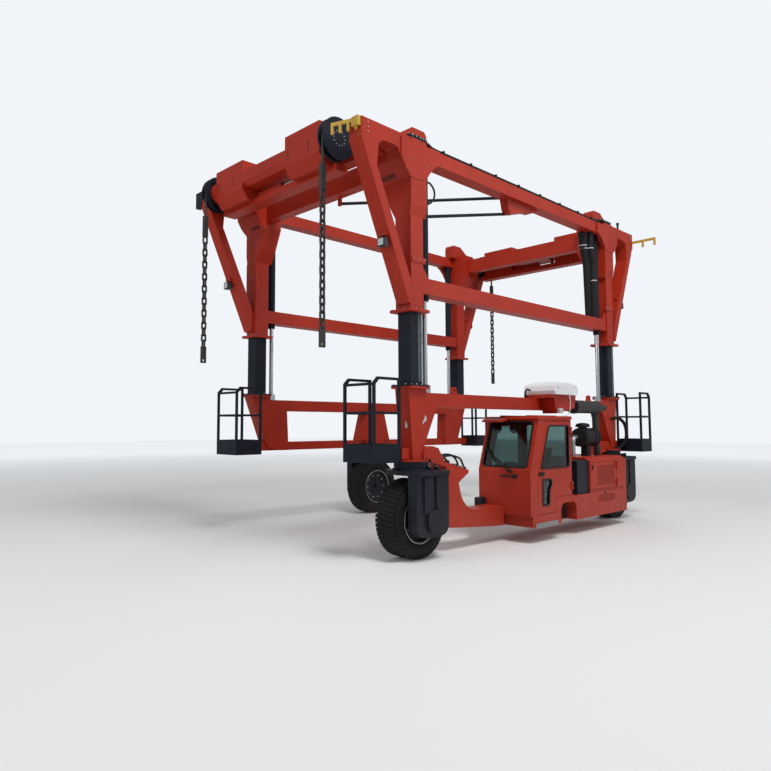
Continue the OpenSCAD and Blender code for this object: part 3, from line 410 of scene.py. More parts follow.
glass = {
    "shader": {"Base Color": (0.27, 0.40, 0.38, 1), "Metallic": 0, "Transmission Weight": 1, "IOR": 1.45},
    "smearScale": 3.0, "smear": 0.08,
}


def makeGlass():
    mat, tree, inputs = newMaterial("tinted_glass", glass["shader"])
    place = tree.nodes.new("ShaderNodeTexCoord")
    patches = noiseNode(tree, place.outputs["Object"], glass["smearScale"], 6)
    feed(tree, inputs["Roughness"], mathNode(tree, "MULTIPLY", patches, glass["smear"]))
    return mat


materials = {name: makeFinish(name, look) for name, look in finishes.items()}
materials["tinted_glass"] = makeGlass()
slotOf = {part["node"]: part["material_slot"] for part in frame["record"]["subparts"]}
for nodeName, obj in nodes.items():
    obj.data.materials.clear()
    obj.data.materials.append(materials[slotOf[nodeName]])
print("materials made")

# Mesh helpers


def dress(obj, finish, body):
    obj.data.materials.append(materials[finish])
    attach(obj, body)
    return obj


def newPiece(name, bm, finish, body, smooth=False):
    mesh = bpy.data.meshes.new(name)
    bm.to_mesh(mesh)
    bm.free()
    mesh.polygons.foreach_set("use_smooth", [smooth] * len(mesh.polygons))
    return dress(placeInScene(name, mesh), finish, body)


def addBox(bm, one, other, bevel=0.0):
    low = Vector([min(pair) for pair in zip(one, other)])
    high = Vector([max(pair) for pair in zip(one, other)])
    made = bmesh.ops.create_cube(bm, size=1)["verts"]
    bmesh.ops.scale(bm, vec=high - low, verts=made)
    bmesh.ops.translate(bm, vec=(low + high) / 2, verts=made)
    if bevel:
        edges = list({edge for vert in made for edge in vert.link_edges})
        bmesh.ops.bevel(bm, geom=edges, offset=bevel, affect="EDGES", segments=2, profile=0.5, material=-1)


def addBoxes(bm, rows, middle):
    shift = Vector((0, middle, 0))
    for low, high, bevel in rows:
        addBox(bm, rowPoint(*low) + shift, rowPoint(*high) + shift, bevel)


def addRod(bm, start, end, radius, sides=16):
    start, end = Vector(start), Vector(end)
    along = end - start
    turn = along.to_track_quat("Z", "Y").to_matrix().to_4x4()
    bmesh.ops.create_cone(
        bm, cap_ends=True, segments=sides, radius1=radius, radius2=radius, depth=along.length,
        matrix=Matrix.Translation((start + end) / 2) @ turn,
    )


def addBolt(bm, place, axis, size):
    axis, place = Vector(axis).normalized(), Vector(place)
    addRod(bm, place - axis * 0.002, place + axis * size * 0.22, size * 1.05, 14)  # washer
    addRod(bm, place + axis * size * 0.2, place + axis * size * 0.85, size * 0.88, 6)  # head


def addBoltRing(bm, centre, ring, axis, turn=0.0):
    for index in range(ring["count"]):
        angle = math.tau * (index + turn) / ring["count"]
        across, up = math.cos(angle) * ring["radius"], math.sin(angle) * ring["radius"]
        around = Vector((across, up, 0) if axis[2] else (across, 0, up))
        addBolt(bm, centre + around, axis, ring["size"])


def boxPiece(name, rows, finish, body, middle=0):
    bm = bmesh.new()
    addBoxes(bm, rows, middle)
    newPiece(name, bm, finish, body)


def addUpright(bm, x, y, low, high, radius, sides=24):
    addRod(bm, rowPoint(x, y, low), rowPoint(x, y, high), radius, sides)


def spinProfile(bm, profile, closed=True):
    verts = [bm.verts.new((radius, across, 0)) for radius, across in profile]
    edges = [bm.edges.new(pair) for pair in zip(verts, verts[1:] + (verts[:1] if closed else []))]
    bmesh.ops.spin(
        bm, geom=verts + edges, cent=(0, 0, 0), axis=(0, 1, 0), angle=math.tau,
        steps=tyre["spinSteps"], use_merge=True,
    )
    if closed:
        bmesh.ops.remove_doubles(bm, verts=bm.verts, dist=0.0001)


def thicken(bm, faces, offset):
    grown = bmesh.ops.extrude_face_region(bm, geom=faces)
    moved = [g for g in grown["geom"] if isinstance(g, bmesh.types.BMVert)]
    bmesh.ops.translate(bm, vec=Vector(offset), verts=moved)


# Wheels and forks

tyre = {
    "radius": 0.540, "width": 0.380, "treadDepth": 0.011, "treadSunk": 0.012,
    "lugCount": 52, "shoulderLug": (0.118, 0.051), "middleLug": (0.096, 0.047), "shoulderIn": 0.083,
    "band": ((0.405, 0.002), (0.408, 0.0), (0.418, 0.0), (0.421, 0.002)),  # raised ring on each sidewall
    "wall": ((0.335, 0.035), (0.352, 0.012), (0.385, 0.004), (0.43, 0), (0.468, 0.006), (0.497, 0.022)),
    "spinSteps": 96,
}
wheels = {
    "front": (mast["x"], mast["y"], 1),
    "rear": (-mast["x"], mast["y"], 1),
    "right": (0, -mast["y"], -1),
}


def wheelCentre(name):
    return rowPoint(*wheels[name][:2], tyre["radius"])


def moveToWheel(bm, name):
    bmesh.ops.translate(bm, vec=wheelCentre(name), verts=bm.verts)
    bmesh.ops.recalc_face_normals(bm, faces=bm.faces)


def makeTyre(name):
    half = tyre["width"] / 2
    carcass = tyre["radius"] - tyre["treadDepth"]
    wall = tyre["wall"] + ((carcass - 0.004, 0.05), (carcass, 0.1))
    profile = [(radius, inset - half) for radius, inset in wall]
    profile += [(radius, half - inset) for radius, inset in reversed(wall)]
    bm = bmesh.new()
    spinProfile(bm, profile)
    pitch = math.tau / tyre["lugCount"]
    shoulder, lug = half - tyre["shoulderIn"], tyre["shoulderLug"]
    rows = ((-shoulder, *lug, 0), (shoulder, *lug, 0.5), (0, *tyre["middleLug"], 0.25))
    out = tyre["radius"] - tyre["treadDepth"] / 2 - tyre["treadSunk"]
    for index in range(tyre["lugCount"]):
        for centre, wide, long, shiftBy in rows:
            made = bmesh.ops.create_cube(bm, size=1)["verts"]
            bmesh.ops.scale(bm, vec=(tyre["treadDepth"] + 0.02, wide, long), verts=made)
            bmesh.ops.translate(bm, vec=(out, centre, 0), verts=made)
            bmesh.ops.rotate(bm, matrix=Matrix.Rotation(pitch * (index + shiftBy), 3, "Y"), verts=made)
    for side in (-1, 1):
        spinProfile(bm, [(radius, side * (half - inset)) for radius, inset in tyre["band"]], closed=False)
    moveToWheel(bm, name)
    piece = newPiece("tyreTread_" + name, bm, "tyre_rubber", "wheel_" + name)
    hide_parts("tyre_" + name)


rim = {
    "bolts": {"count": 10, "radius": 0.23, "size": 0.018},
    "faces": ((1, 0.090), (-1, 0.110)),  # outer and inner
    "ringIn": 0.022,
    "ring": ((0.318, 0), (0.322, 0.010), (0.333, 0.012), (0.337, 0.004), (0.333, 0)),
}


def makeRimBolts(name):
    side = wheels[name][2]
    bm = bmesh.new()
    for facing, face in rim["faces"]:
        centre = wheelCentre(name) + Vector((0, facing * face * side, 0))
        addBoltRing(bm, centre, rim["bolts"], (0, facing * side, 0))
    newPiece("wheelBolts_" + name, bm, "bare_steel", "wheel_" + name)


def makeRimRing(name):
    bm = bmesh.new()
    reach = tyre["width"] / 2 - rim["ringIn"]
    spinProfile(bm, [(radius, reach + proud) for radius, proud in rim["ring"]])
    moveToWheel(bm, name)
    newPiece("rimRing_" + name, bm, "bare_steel", "wheel_" + name, smooth=True)


forkTop = {
    "top": 1.200, "sunk": 0.003, "capFrom": 0.85, "capShrink": 0.92,
    "spots": ((-0.285, 0.215, 0.034, 0.052), (-0.095, 0.250, 0.026, 0.055)),
}


def makeForkFittings(name):
    x, y, side = wheels[name]
    dark, pale, top = bmesh.new(), bmesh.new(), forkTop["top"]
    for along, across, radius, high in forkTop["spots"]:
        spot, seam = (x + along, y + side * across), top + high * forkTop["capFrom"]
        addUpright(dark, *spot, top - forkTop["sunk"], seam, radius)
        addUpright(pale, *spot, seam, top + high, radius * forkTop["capShrink"])
    newPiece("forkFittings_" + name, dark, "dark_paint", "steer_" + name)
    newPiece("forkCaps_" + name, pale, "bare_steel", "steer_" + name)


for wheelName in wheels:
    makeTyre(wheelName)
    makeRimBolts(wheelName)
    makeRimRing(wheelName)
    makeForkFittings(wheelName)
print("tyres made")

# Hoses

beamTop = 5.830
beamHoses = {
    "lanes": ((0.118, 0.0), (0.082, 0.002), (0.100, 0.029)),
    "ends": ((2.72, 0.046), (2.62, 0.040), (2.48, 0.004)),
    "spots": (1.9, 1.4, 0.8, 0.2, -0.4, -1.0, -1.6, -2.1),
    "lift": 0.015, "wave": (0.004, 0.005), "radius": 0.016,
}
freeHoses = {
    "headArc_front": (0.014, "gantry", [
        (2.745, 1.960, 5.305), (2.600, 1.960, 5.338), (2.490, 1.955, 5.262), (2.480, 1.950, 5.150),
        (2.560, 1.950, 5.052), (2.640, 1.950, 5.030)]),
    "headLoop_front": (0.014, "gantry", [
        (2.78, 1.74, 4.62), (2.62, 1.75, 4.60), (2.50, 1.76, 4.42), (2.46, 1.78, 4.16), (2.52, 1.80, 3.93),
        (2.56, 1.80, 3.90)]),
    "legLoop_rear": (0.032, "chassis", [
        (-2.86, 1.99, 1.93), (-2.92, 2.10, 1.95), (-3.02, 2.17, 1.86), (-3.08, 2.19, 1.70),
        (-3.10, 2.16, 1.50), (-3.06, 2.05, 1.36), (-3.00, 1.99, 1.36)]),
    "coverCable": (0.007, "chassis", [
        (-0.60, 2.325, 2.37), (-0.62, 2.345, 2.26), (-0.64, 2.33, 2.10), (-0.62, 2.30, 1.99),
        (-0.42, 2.30, 1.965), (-0.33, 2.28, 1.962)], "white_cover"),
    "coverPipe": (0.016, "chassis", [
        (-0.20, 1.85, 2.40), (-0.06, 1.86, 2.42), (0.02, 1.87, 2.36), (0.00, 1.87, 2.30),
        (-0.10, 1.86, 2.285)]),
}
carrierHoses = {
    "radius": 0.015, "first": 1.990, "pitch": 0.035,
    "routes": (
        ((2.450, 1.309), (2.413, 1.348), (2.322, 1.369), (2.200, 1.372), (2.089, 1.354), (1.995, 1.321),
         (1.948, 1.262), (1.900, 1.176)),
        ((2.460, 1.325), (2.400, 1.375), (2.300, 1.392), (2.170, 1.380), (2.070, 1.330), (2.020, 1.270),
         (1.990, 1.200)),
        ((2.440, 1.300), (2.400, 1.325), (2.322, 1.345), (2.250, 1.325), (2.205, 1.285), (2.200, 1.252)),
    ),
}
pathSteps = 6


def smoothPath(points):
    ends = [points[0] * 2 - points[1]] + points + [points[-1] * 2 - points[-2]]
    path = []
    for p0, p1, p2, p3 in zip(ends, ends[1:], ends[2:], ends[3:]):
        for step in range(pathSteps):
            t = step / pathSteps
            path.append(0.5 * (2 * p1 + (p2 - p0) * t + (2 * p0 - 5 * p1 + 4 * p2 - p3) * t ** 2
                               + (3 * p1 - p0 - 3 * p2 + p3) * t ** 3))
    path.append(points[-1])
    return path


def makeHose(name, points, radius, body, finish="black_plastic", free=True):
    path = smoothPath([rowPoint(*point) for point in points])
    curve = bpy.data.curves.new(name, "CURVE")
    curve.dimensions = "3D"
    curve.bevel_depth = radius
    curve.bevel_resolution = 3
    curve.use_fill_caps = True
    spline = curve.splines.new("POLY")
    spline.points.add(len(path) - 1)
    for point, place in zip(spline.points, path):
        point.co = (*place, 1)
    spline.use_smooth = True
    obj = dress(placeInScene(name, curve), finish, body)


def makeBeamHoses():
    sway, bob = beamHoses["wave"]
    for index, (across, lift) in enumerate(beamHoses["lanes"]):
        out, low = mast["y"] + across, beamTop + beamHoses["lift"] + lift
        points = [(x, out, low + rise) for x, rise in beamHoses["ends"]]
        for number, x in enumerate(beamHoses["spots"]):
            points.append((x, out + sway * (-1) ** number, low + bob * (number % 2)))
        points += [(-x, out, low + rise) for x, rise in reversed(beamHoses["ends"])]
        makeHose(f"beamHose_{index}", points, beamHoses["radius"], "gantry", free=False)


makeBeamHoses()
for hoseName, (radius, body, points, *finish) in freeHoses.items():
    makeHose(hoseName, points, radius, body, *finish)
for index, route in enumerate(carrierHoses["routes"]):
    across = carrierHoses["first"] - carrierHoses["pitch"] * index
    makeHose(f"carrierHose_{index}", [(x, across, z) for x, z in route], carrierHoses["radius"], "chassis")
print("hoses made")

# Window rubbers, wiper, handles and fans

cab = {
    "front": 0.930, "back": -0.330, "inner": 1.550, "outer": 2.500, "waist": 1.110, "lean": 0.270,
    "screenTop": 1.910,
}
screenRise = math.hypot(cab["lean"], cab["screenTop"] - cab["waist"])
screenTilt = math.atan2(cab["lean"], cab["screenTop"] - cab["waist"])
screenOut = Vector((math.cos(screenTilt), 0, math.sin(screenTilt)))
rubber = {"width": 0.026, "proud": 0.009, "cornerSteps": 6}


def onScreen(y, up, out=0.0):
    x = cab["front"] - up * math.sin(screenTilt) + out * math.cos(screenTilt)
    z = cab["waist"] + up * math.cos(screenTilt) + out * math.sin(screenTilt)
    return rowPoint(x, y, z)


def makeRubber(name, outline, outward, radius, body):
    bm = bmesh.new()
    verts = [bm.verts.new(c) for c in outline]
    bm.faces.new(verts)
    bmesh.ops.bevel(bm, geom=verts, offset=radius, affect="VERTICES", segments=rubber["cornerSteps"],
                    profile=0.5, material=-1)
    bmesh.ops.inset_region(bm, faces=list(bm.faces), thickness=rubber["width"], use_boundary=True,
                           use_even_offset=True)
    inner = max(bm.faces, key=lambda f: f.calc_area())
    bmesh.ops.delete(bm, geom=[inner], context="FACES_ONLY")
    thicken(bm, bm.faces[:], Vector(outward) * rubber["proud"])
    bmesh.ops.recalc_face_normals(bm, faces=bm.faces)
    newPiece(name, bm, "black_plastic", body)


windows = {
    "screenIn": (0.050, 0.070), "screenUp": (0.040, 0.035),
    "door": [(0.645, 1.125), (0.378, 1.815), (-0.255, 1.815), (-0.255, 1.125)],
    "boot": [(0.605, 0.555), (0.595, 0.975), (0.325, 0.975), (0.295, 0.880), (0.365, 0.800), (0.385, 0.555)],
    "rear": [(1.645, 1.195), (2.405, 1.195), (2.405, 1.835), (1.645, 1.835)],
}


def makeWindows():
    (lowIn, highIn), (low, below) = windows["screenIn"], windows["screenUp"]
    high = screenRise - below
    screen = [onScreen(cab["inner"] + lowIn, low), onScreen(cab["outer"] - lowIn, low),
              onScreen(cab["outer"] - highIn, high), onScreen(cab["inner"] + highIn, high)]
    makeRubber("windscreenRubber", screen, screenOut, 0.075, "chassis")
    for name, window, face, outward, radius, body in (
        ("doorWindowRubber", "door", "outer", (0, 1, 0), 0.050, "cab_door"),
        ("innerWindowRubber", "door", "inner", (0, -1, 0), 0.050, "chassis"),
        ("bootWindowRubber", "boot", "outer", (0, 1, 0), 0.035, "cab_door"),
    ):
        makeRubber(name, [rowPoint(x, cab[face], z) for x, z in windows[window]], outward, radius, body)
    rear = [rowPoint(cab["back"], y, z) for y, z in windows["rear"]]
    makeRubber("rearWindowRubber", rear, (-1, 0, 0), 0.06, "chassis")


wiper = {
    "pivot": (2.16, -0.02), "tip": (1.80, 0.22), "blade": ((1.92, 0.06), (1.62, 0.37)),
    "armGap": 0.045, "armOut": 0.03, "bladeOut": 0.016, "pins": ((0, 0.022), (0.045, 0.016)),
}


def makeWiper():
    bm = bmesh.new()
    (pivotY, pivotUp), (tipY, tipUp) = wiper["pivot"], wiper["tip"]
    out = wiper["armOut"]
    for gap in (0, wiper["armGap"]):
        addRod(bm, onScreen(pivotY - gap, pivotUp, out), onScreen(tipY - gap / 3, tipUp, out), 0.007, 10)
    low, high = (onScreen(*end, wiper["bladeOut"]) for end in wiper["blade"])
    addRod(bm, low, high, 0.011, 8)
    for gap, radius in wiper["pins"]:
        addRod(bm, onScreen(pivotY - gap, pivotUp, -0.001), onScreen(pivotY - gap, pivotUp, 0.04), radius, 16)
    newPiece("wiper", bm, "black_plastic", "chassis")


handles = {
    "rail": {"from": 1.98, "to": 2.24, "z": 1.02, "out": 0.045, "radius": 0.012},
    "doorLatch": (((0.545, -0.001, 1.025), (0.685, 0.022, 1.085), 0.008),
                  ((0.565, 0.020, 1.035), (0.625, 0.034, 1.070), 0.006)),
    "engineLatch": (((-1.055, -0.001, 1.035), (-1.020, 0.012, 1.120), 0.008),),
    "engineKey": (-1.037, 1.10),
    "skirtLocks": ((-1.48, 0.625, 0.010, 0.020, 24), (-0.62, 0.560, 0.006, 0.009, 16),
                   (-0.70, 0.560, 0.006, 0.009, 16)),
}


def makeHandles():
    rail, x, face = handles["rail"], cab["front"], laneToRow(cab["outer"])
    bm = bmesh.new()  # grab handle on the front panel
    y0, y1, z = laneToRow(rail["from"]), laneToRow(rail["to"]), rail["z"]
    addRod(bm, (x + rail["out"], y0, z), (x + rail["out"], y1, z), rail["radius"])
    for y in (y0 + 0.006, y1 - 0.006):
        addRod(bm, (x - 0.001, y, z), (x + 0.05, y, z), 0.011)
    addBox(bm, (x - 0.001, y1 - 0.05, z - 0.03), (x + 0.03, y1 + 0.03, z + 0.03), 0.008)
    newPiece("grabHandle", bm, "black_plastic", "chassis")
    boxPiece("doorLatch", handles["doorLatch"], "black_plastic", "cab_door", cab["outer"])
    bm = bmesh.new()
    addBoxes(bm, handles["engineLatch"], cab["outer"])
    keyX, keyZ = handles["engineKey"]
    addRod(bm, (keyX, face + 0.010, keyZ), (keyX, face + 0.022, keyZ), 0.012)
    newPiece("engineDoorLatch", bm, "black_plastic", "engine_door")
    bm = bmesh.new()
    for lockX, lockZ, proud, radius, sides in handles["skirtLocks"]:
        addRod(bm, (lockX, face - 0.001, lockZ), (lockX, face + proud, lockZ), radius, sides)
    newPiece("skirtLocks", bm, "black_plastic", "chassis")


fans = {"spots": (1.70, 2.02), "down": 0.13, "inside": 0.10, "half": 0.02, "radius": 0.075, "stalkTop": 1.905}


def makeFans():
    bm = bmesh.new()  # two round cab fans under the roof, behind the glass
    for y in fans["spots"]:
        centre = onScreen(y, screenRise - fans["down"], -fans["inside"])
        addRod(bm, centre - screenOut * fans["half"], centre + screenOut * fans["half"], fans["radius"], 32)
        addRod(bm, centre, (centre.x - 0.02, centre.y, fans["stalkTop"]), 0.010, 10)
    newPiece("cabFans", bm, "black_plastic", "chassis")


makeWindows()
makeWiper()
makeHandles()
makeFans()
print("cab fittings made")

# Step, arch panel, carrier fittings and leg plates

step = {
    "low": (0.165, 2.352, 0.238), "high": (0.805, 2.516, 0.306), "ribs": 15, "share": 0.45, "margin": 0.03,
    "spare": 0.04,
}


def makeStep(low, high, ribs, share, margin, spare):
    bm, low, high = bmesh.new(), rowPoint(*low), rowPoint(*high)
    addBox(bm, low, high, 0.006)
    pitch = (high.x - low.x - spare) / ribs
    wide = pitch * share
    for index in range(ribs):
        x = low.x + margin + pitch * index
        addBox(bm, (x, low.y + 0.02, high.z - 0.001), (x + wide, high.y - 0.01, high.z + 0.006), 0.002)
        addBox(bm, (x, high.y - 0.001, low.z + 0.01), (x + wide, high.y + 0.005, high.z - 0.01), 0.002)
    newPiece("cabStep", bm, "bare_steel", "chassis")


archPanel = {
    "ends": (-0.445, 0.025), "low": 0.275, "high": 0.548, "y": 2.330, "wire": 0.006,
    "bars": 14, "barFrom": 0.012, "barSpare": 0.030, "barInsets": {0: 0.08, 1: 0.03},
    "rows": 9, "rowPitch": 0.03, "topInset": 0.06,
}
# Dark step bracket at the cab's inner front corner
cornerStep = [((0.925, 1.56, 0.40), (1.08, 1.68, 0.66), 0.012),
              ((0.93, 1.60, 0.36), (1.22, 1.676, 0.42), 0.010)]


def makeArchPanel(ends, low, high, y, wire, bars, barFrom, barSpare, barInsets, rows, rowPitch, topInset):
    bm, y, last = bmesh.new(), laneToRow(y), bars - 1
    x0, x1 = ends
    for index in range(bars):
        x = x0 + barFrom + index * (x1 - x0 - barSpare) / last
        inset = barInsets.get(min(index, last - index), 0)
        addBox(bm, (x, y - 0.012, low), (x + wire, y + 0.004, high - inset))
    for index in range(rows):
        z = low + 0.01 + index * rowPitch
        inset = topInset if index == rows - 1 else 0
        addBox(bm, (x0 + inset, y - 0.014, z), (x1 - inset, y - 0.006, z + wire))
    newPiece("archMesh", bm, "black_plastic", "chassis")


carrier = {
    "slope": 0.252, "top": (2.376, 1.290), "valve": (2.205, 1.920), "block": (2.235, 2.330),
    "pipes": (1.885, 1.945, 2.000), "span": (1.86, 2.16), "pipeLift": 0.014, "pipeRadius": 0.010,
}


def onCarrier(x, y, lift):
    topX, topZ = carrier["top"]
    return Vector((x, y, topZ - (topX - x) * carrier["slope"] + lift))


def makeCarrierFittings():
    bm, pipeBm = bmesh.new(), bmesh.new()  # valve, block and clamps, and the steel pipes on the front carrier
    x, y = carrier["valve"][0], laneToRow(carrier["valve"][1])
    near, far = carrier["block"]
    addRod(bm, onCarrier(x, y, -0.005), onCarrier(x, y, 0.055), 0.032, 24)
    addBox(bm, onCarrier(near, y - 0.05, -0.02), onCarrier(far, y + 0.07, 0.028), 0.008)
    near, far = carrier["span"]
    lift, lanes = carrier["pipeLift"], [laneToRow(across) for across in carrier["pipes"]]
    for y in lanes:
        addRod(pipeBm, onCarrier(near, y, lift), onCarrier(far, y, lift), carrier["pipeRadius"])
    for x in (near + 0.05, far - 0.05):
        low, high = onCarrier(x, lanes[0] - 0.02, -0.006), onCarrier(x, lanes[-1] + 0.02, 0.030)
        addBox(bm, (x - 0.012, *low.yz), (x + 0.012, *high.yz), 0.004)
    newPiece("carrierValve", bm, "black_plastic", "chassis")
    newPiece("carrierPipes", pipeBm, "bare_steel", "chassis")


plates = {
    "front": [(1.893, 1.873), (1.918, 1.830), (1.920, 1.785), (1.898, 1.770), (1.876, 1.787), (1.880, 1.832)],
    "side": [(2.762, 1.960), (2.742, 1.900), (2.752, 1.870), (2.785, 1.862), (2.832, 1.822), (2.830, 1.838)],
    "frontFace": 0.1245, "frontLow": 1.770, "frontLean": 0.073, "sideFace": 0.124, "thick": 0.004,
}


def makeLegPlates():
    bm = bmesh.new()  # blank plates on the front left leg
    x, y = mast["x"] + plates["frontFace"], mast["y"] + plates["sideFace"]
    low, lean = plates["frontLow"], plates["frontLean"]
    front = [rowPoint(x + (z - low) * lean, across, z) for across, z in plates["front"]]
    side = [rowPoint(along, y, z) for along, z in plates["side"]]
    faces = [bm.faces.new([bm.verts.new(point) for point in outline]) for outline in (front, side)]
    for face, out in zip(faces, ((1, 0, 0), (0, 1, 0))):
        thicken(bm, [face], Vector(out) * plates["thick"])
    bmesh.ops.recalc_face_normals(bm, faces=bm.faces)
    newPiece("legPlates", bm, "lamp_lens", "chassis")


makeStep(**step)
makeArchPanel(**archPanel)
boxPiece("cornerStep", cornerStep, "dark_paint", "chassis")
makeCarrierFittings()
makeLegPlates()

# Bolts, plates and slots


def mastFace(sy, out):
    return laneToRow(sy * (mast["y"] + out))


flanges = {
    "size": 0.014, "steps": 4, "edge": 0.026,
    "rows": (("mastFlangeBolts", 0.190, 2.375, "chassis"), ("sleeveFlangeBolts", 0.200, 3.430, "gantry")),
}


def makeFlangeBolts(name, half, z, body):
    bm = bmesh.new()
    reach = half - flanges["edge"]
    for sx, sy in corners:
        middle = rowPoint(sx * mast["x"], sy * mast["y"], z)
        for index in range(flanges["steps"]):
            along = -reach + 2 * reach * index / (flanges["steps"] - 1)
            for px, py in ((along, reach), (along, -reach), (reach, along), (-reach, along)):
                addBolt(bm, middle + Vector((px, py, 0)), (0, 0, 1), flanges["size"])
    newPiece(name, bm, "bare_steel", body)


slewing = {"count": 20, "radius": 0.222, "size": 0.013, "boltZ": 1.344, "flange": (1.316, 1.345, 0.247)}


def makeRingBolts(name):
    x, y = wheels[name][:2]
    bm = bmesh.new()
    addBoltRing(bm, rowPoint(x, y, slewing["boltZ"]), slewing, (0, 0, 1), turn=0.5)
    newPiece("ringBolts_" + name, bm, "dark_paint", "chassis")
    bm = bmesh.new()
    addUpright(bm, x, y, *slewing["flange"], 64)
    newPiece("ringFlange_" + name, bm, "orange_paint", "chassis")


# x, z, how far out from the mast's middle, size
tipBolts = ((3.915, 5.690, 0.157, 0.012), (3.915, 5.752, 0.157, 0.012), (3.915, 5.814, 0.157, 0.012),
            (3.101, 5.536, 0.175, 0.009), (2.702, 5.540, 0.175, 0.009))


def makeTipBolts():
    bm = bmesh.new()
    for sx, sy in corners:
        for x, z, out, size in tipBolts:
            addBolt(bm, (sx * x, mastFace(sy, out), z), (0, sy, 0), size)
    newPiece("tipBolts", bm, "bare_steel", "gantry")


sheaveBolts = {
    "sides": ((1, 1.450), (-1, -1.730)), "x": 3.910, "z": 5.780, "count": 12, "radius": 0.105, "size": 0.010,
}


def makeSheaveBolts(end, sx):
    bm = bmesh.new()
    for side, y in sheaveBolts["sides"]:
        addBoltRing(bm, rowPoint(sx * sheaveBolts["x"], y, sheaveBolts["z"]), sheaveBolts, (0, side, 0))
    newPiece("sheaveBolts_" + end, bm, "bare_steel", "lifting_set_" + end)


headPlates = {
    "outline": [(2.443, 5.62), (2.443, 5.82), (3.280, 5.82), (3.275, 5.53), (3.184, 5.394), (3.083, 5.300),
                (3.009, 5.279), (2.828, 5.302), (2.735, 5.350), (2.640, 5.475), (2.540, 5.570)],
    "face": 0.138, "thick": 0.037,
}


def makeHeadPlates():
    bm = bmesh.new()  # doublers that join legs and top beams
    for sx, sy in corners:
        face = mastFace(sy, headPlates["face"])
        flat = bm.faces.new([bm.verts.new((sx * x, face, z)) for x, z in headPlates["outline"]])
        thicken(bm, [flat], (0, sy * headPlates["thick"], 0))
    bmesh.ops.recalc_face_normals(bm, faces=bm.faces)
    newPiece("headPlates", bm, "orange_paint", "gantry")


headMarks = {
    "slots": (1.556, 1.609, 1.662, 1.715, 1.766), "slotSize": (0.075, 0.026, 0.008),
    "slope": ((3.080, 5.300), (3.184, 5.394)), "slotOut": (0.012, 0.011),
    "arc": ((1.599, 5.705), (1.655, 5.739), (1.716, 5.740), (1.765, 5.712)), "arcFace": 3.290,
    "patch": ((2.753, 4.095), (3.037, 4.180)), "patchFace": 0.139, "proud": 0.010,
    "bolts": (2.774, 2.904, 3.016), "boltZ": 4.150,
}


def makeHeadMarks(slots, slotSize, slope, slotOut, arc, arcFace, patch, patchFace, proud, bolts, boltZ):
    slotBm, boltBm, patchBm = bmesh.new(), bmesh.new(), bmesh.new()
    (x0, z0), (x1, z1) = slope
    (lowX, lowZ), (highX, highZ) = patch
    lean = math.atan2(z1 - z0, x1 - x0)
    for sx, sy in corners:
        for y in slots:  # dark slots in the head's sloping underside
            made = bmesh.ops.create_cube(slotBm, size=1)["verts"]
            place = rowPoint(sx * ((x0 + x1) / 2 + slotOut[0]), sy * y, (z0 + z1) / 2 + slotOut[1])
            bmesh.ops.scale(slotBm, vec=slotSize, verts=made)
            bmesh.ops.rotate(slotBm, matrix=Matrix.Rotation(-lean * sx, 3, "Y"), verts=made)
            bmesh.ops.translate(slotBm, vec=place, verts=made)
        for y, z in arc:
            addBolt(boltBm, rowPoint(sx * arcFace, sy * y, z), (sx, 0, 0), 0.011)
        face = mastFace(sy, patchFace)
        out = face + sy * proud
        addBox(patchBm, (sx * lowX, face - sy * 0.002, lowZ), (sx * highX, out, highZ), 0.003)
        for x in bolts:
            addBolt(boltBm, (sx * x, out, boltZ), (0, sy, 0), 0.010)
    newPiece("headSlots", slotBm, "black_plastic", "gantry")
    newPiece("headBolts", boltBm, "bare_steel", "gantry")
    newPiece("sleevePatches", patchBm, "orange_paint", "gantry")


housingSlots = {
    "places": (0.496, 0.968, -0.960, -1.420), "half": 0.010, "faces": (4.068, 4.072), "low": 5.712,
    "high": 5.872,
}


def makeHousingSlots(end, sx, places, faces, low, high, half):
    bm = bmesh.new()
    for y in places:
        addBox(bm, rowPoint(sx * faces[0], y - half, low), rowPoint(sx * faces[1], y + half, high))
    newPiece("housingSlots_" + end, bm, "seam_shade", "lifting_set_" + end)


# Bracket behind the front left head and guard on the front right brace's tip
headBrackets = [((2.625, 1.925, 5.000), (2.742, 1.985, 5.062), 0.008),
                ((3.950, -2.215, 5.640), (4.045, -2.018, 5.920), 0.010)]

sleeveTies = {
    "half": 0.009,
    "spots": ((-2.276, 1.803, 5.350, 0.079), (-2.300, 1.803, 5.295, 0.079), (-2.386, 1.898, 5.300, 0.064),
              (-2.445, 1.803, 4.700, 0.079), (-2.476, 1.903, 4.660, 0.064), (-2.448, 1.803, 4.420, 0.079)),
}


def makeSleeveTies():
    bm = bmesh.new()
    for x, y, z, radius in sleeveTies["spots"]:
        addUpright(bm, x, y, z - sleeveTies["half"], z + sleeveTies["half"], radius)
    newPiece("sleeveTies", bm, "lamp_lens", "gantry")


hoseBoxes = {
    "ends": (2.700, 3.060), "low": 5.868, "high": 5.940, "lane": 0.100,
    "fittings": (2.74, 2.80, 2.86, 2.95, 3.03), "sideZ": 5.915,
    "clips": (2.30, 1.62, 0.95, 0.28, -0.40, -1.08, -1.75, -2.30),
}


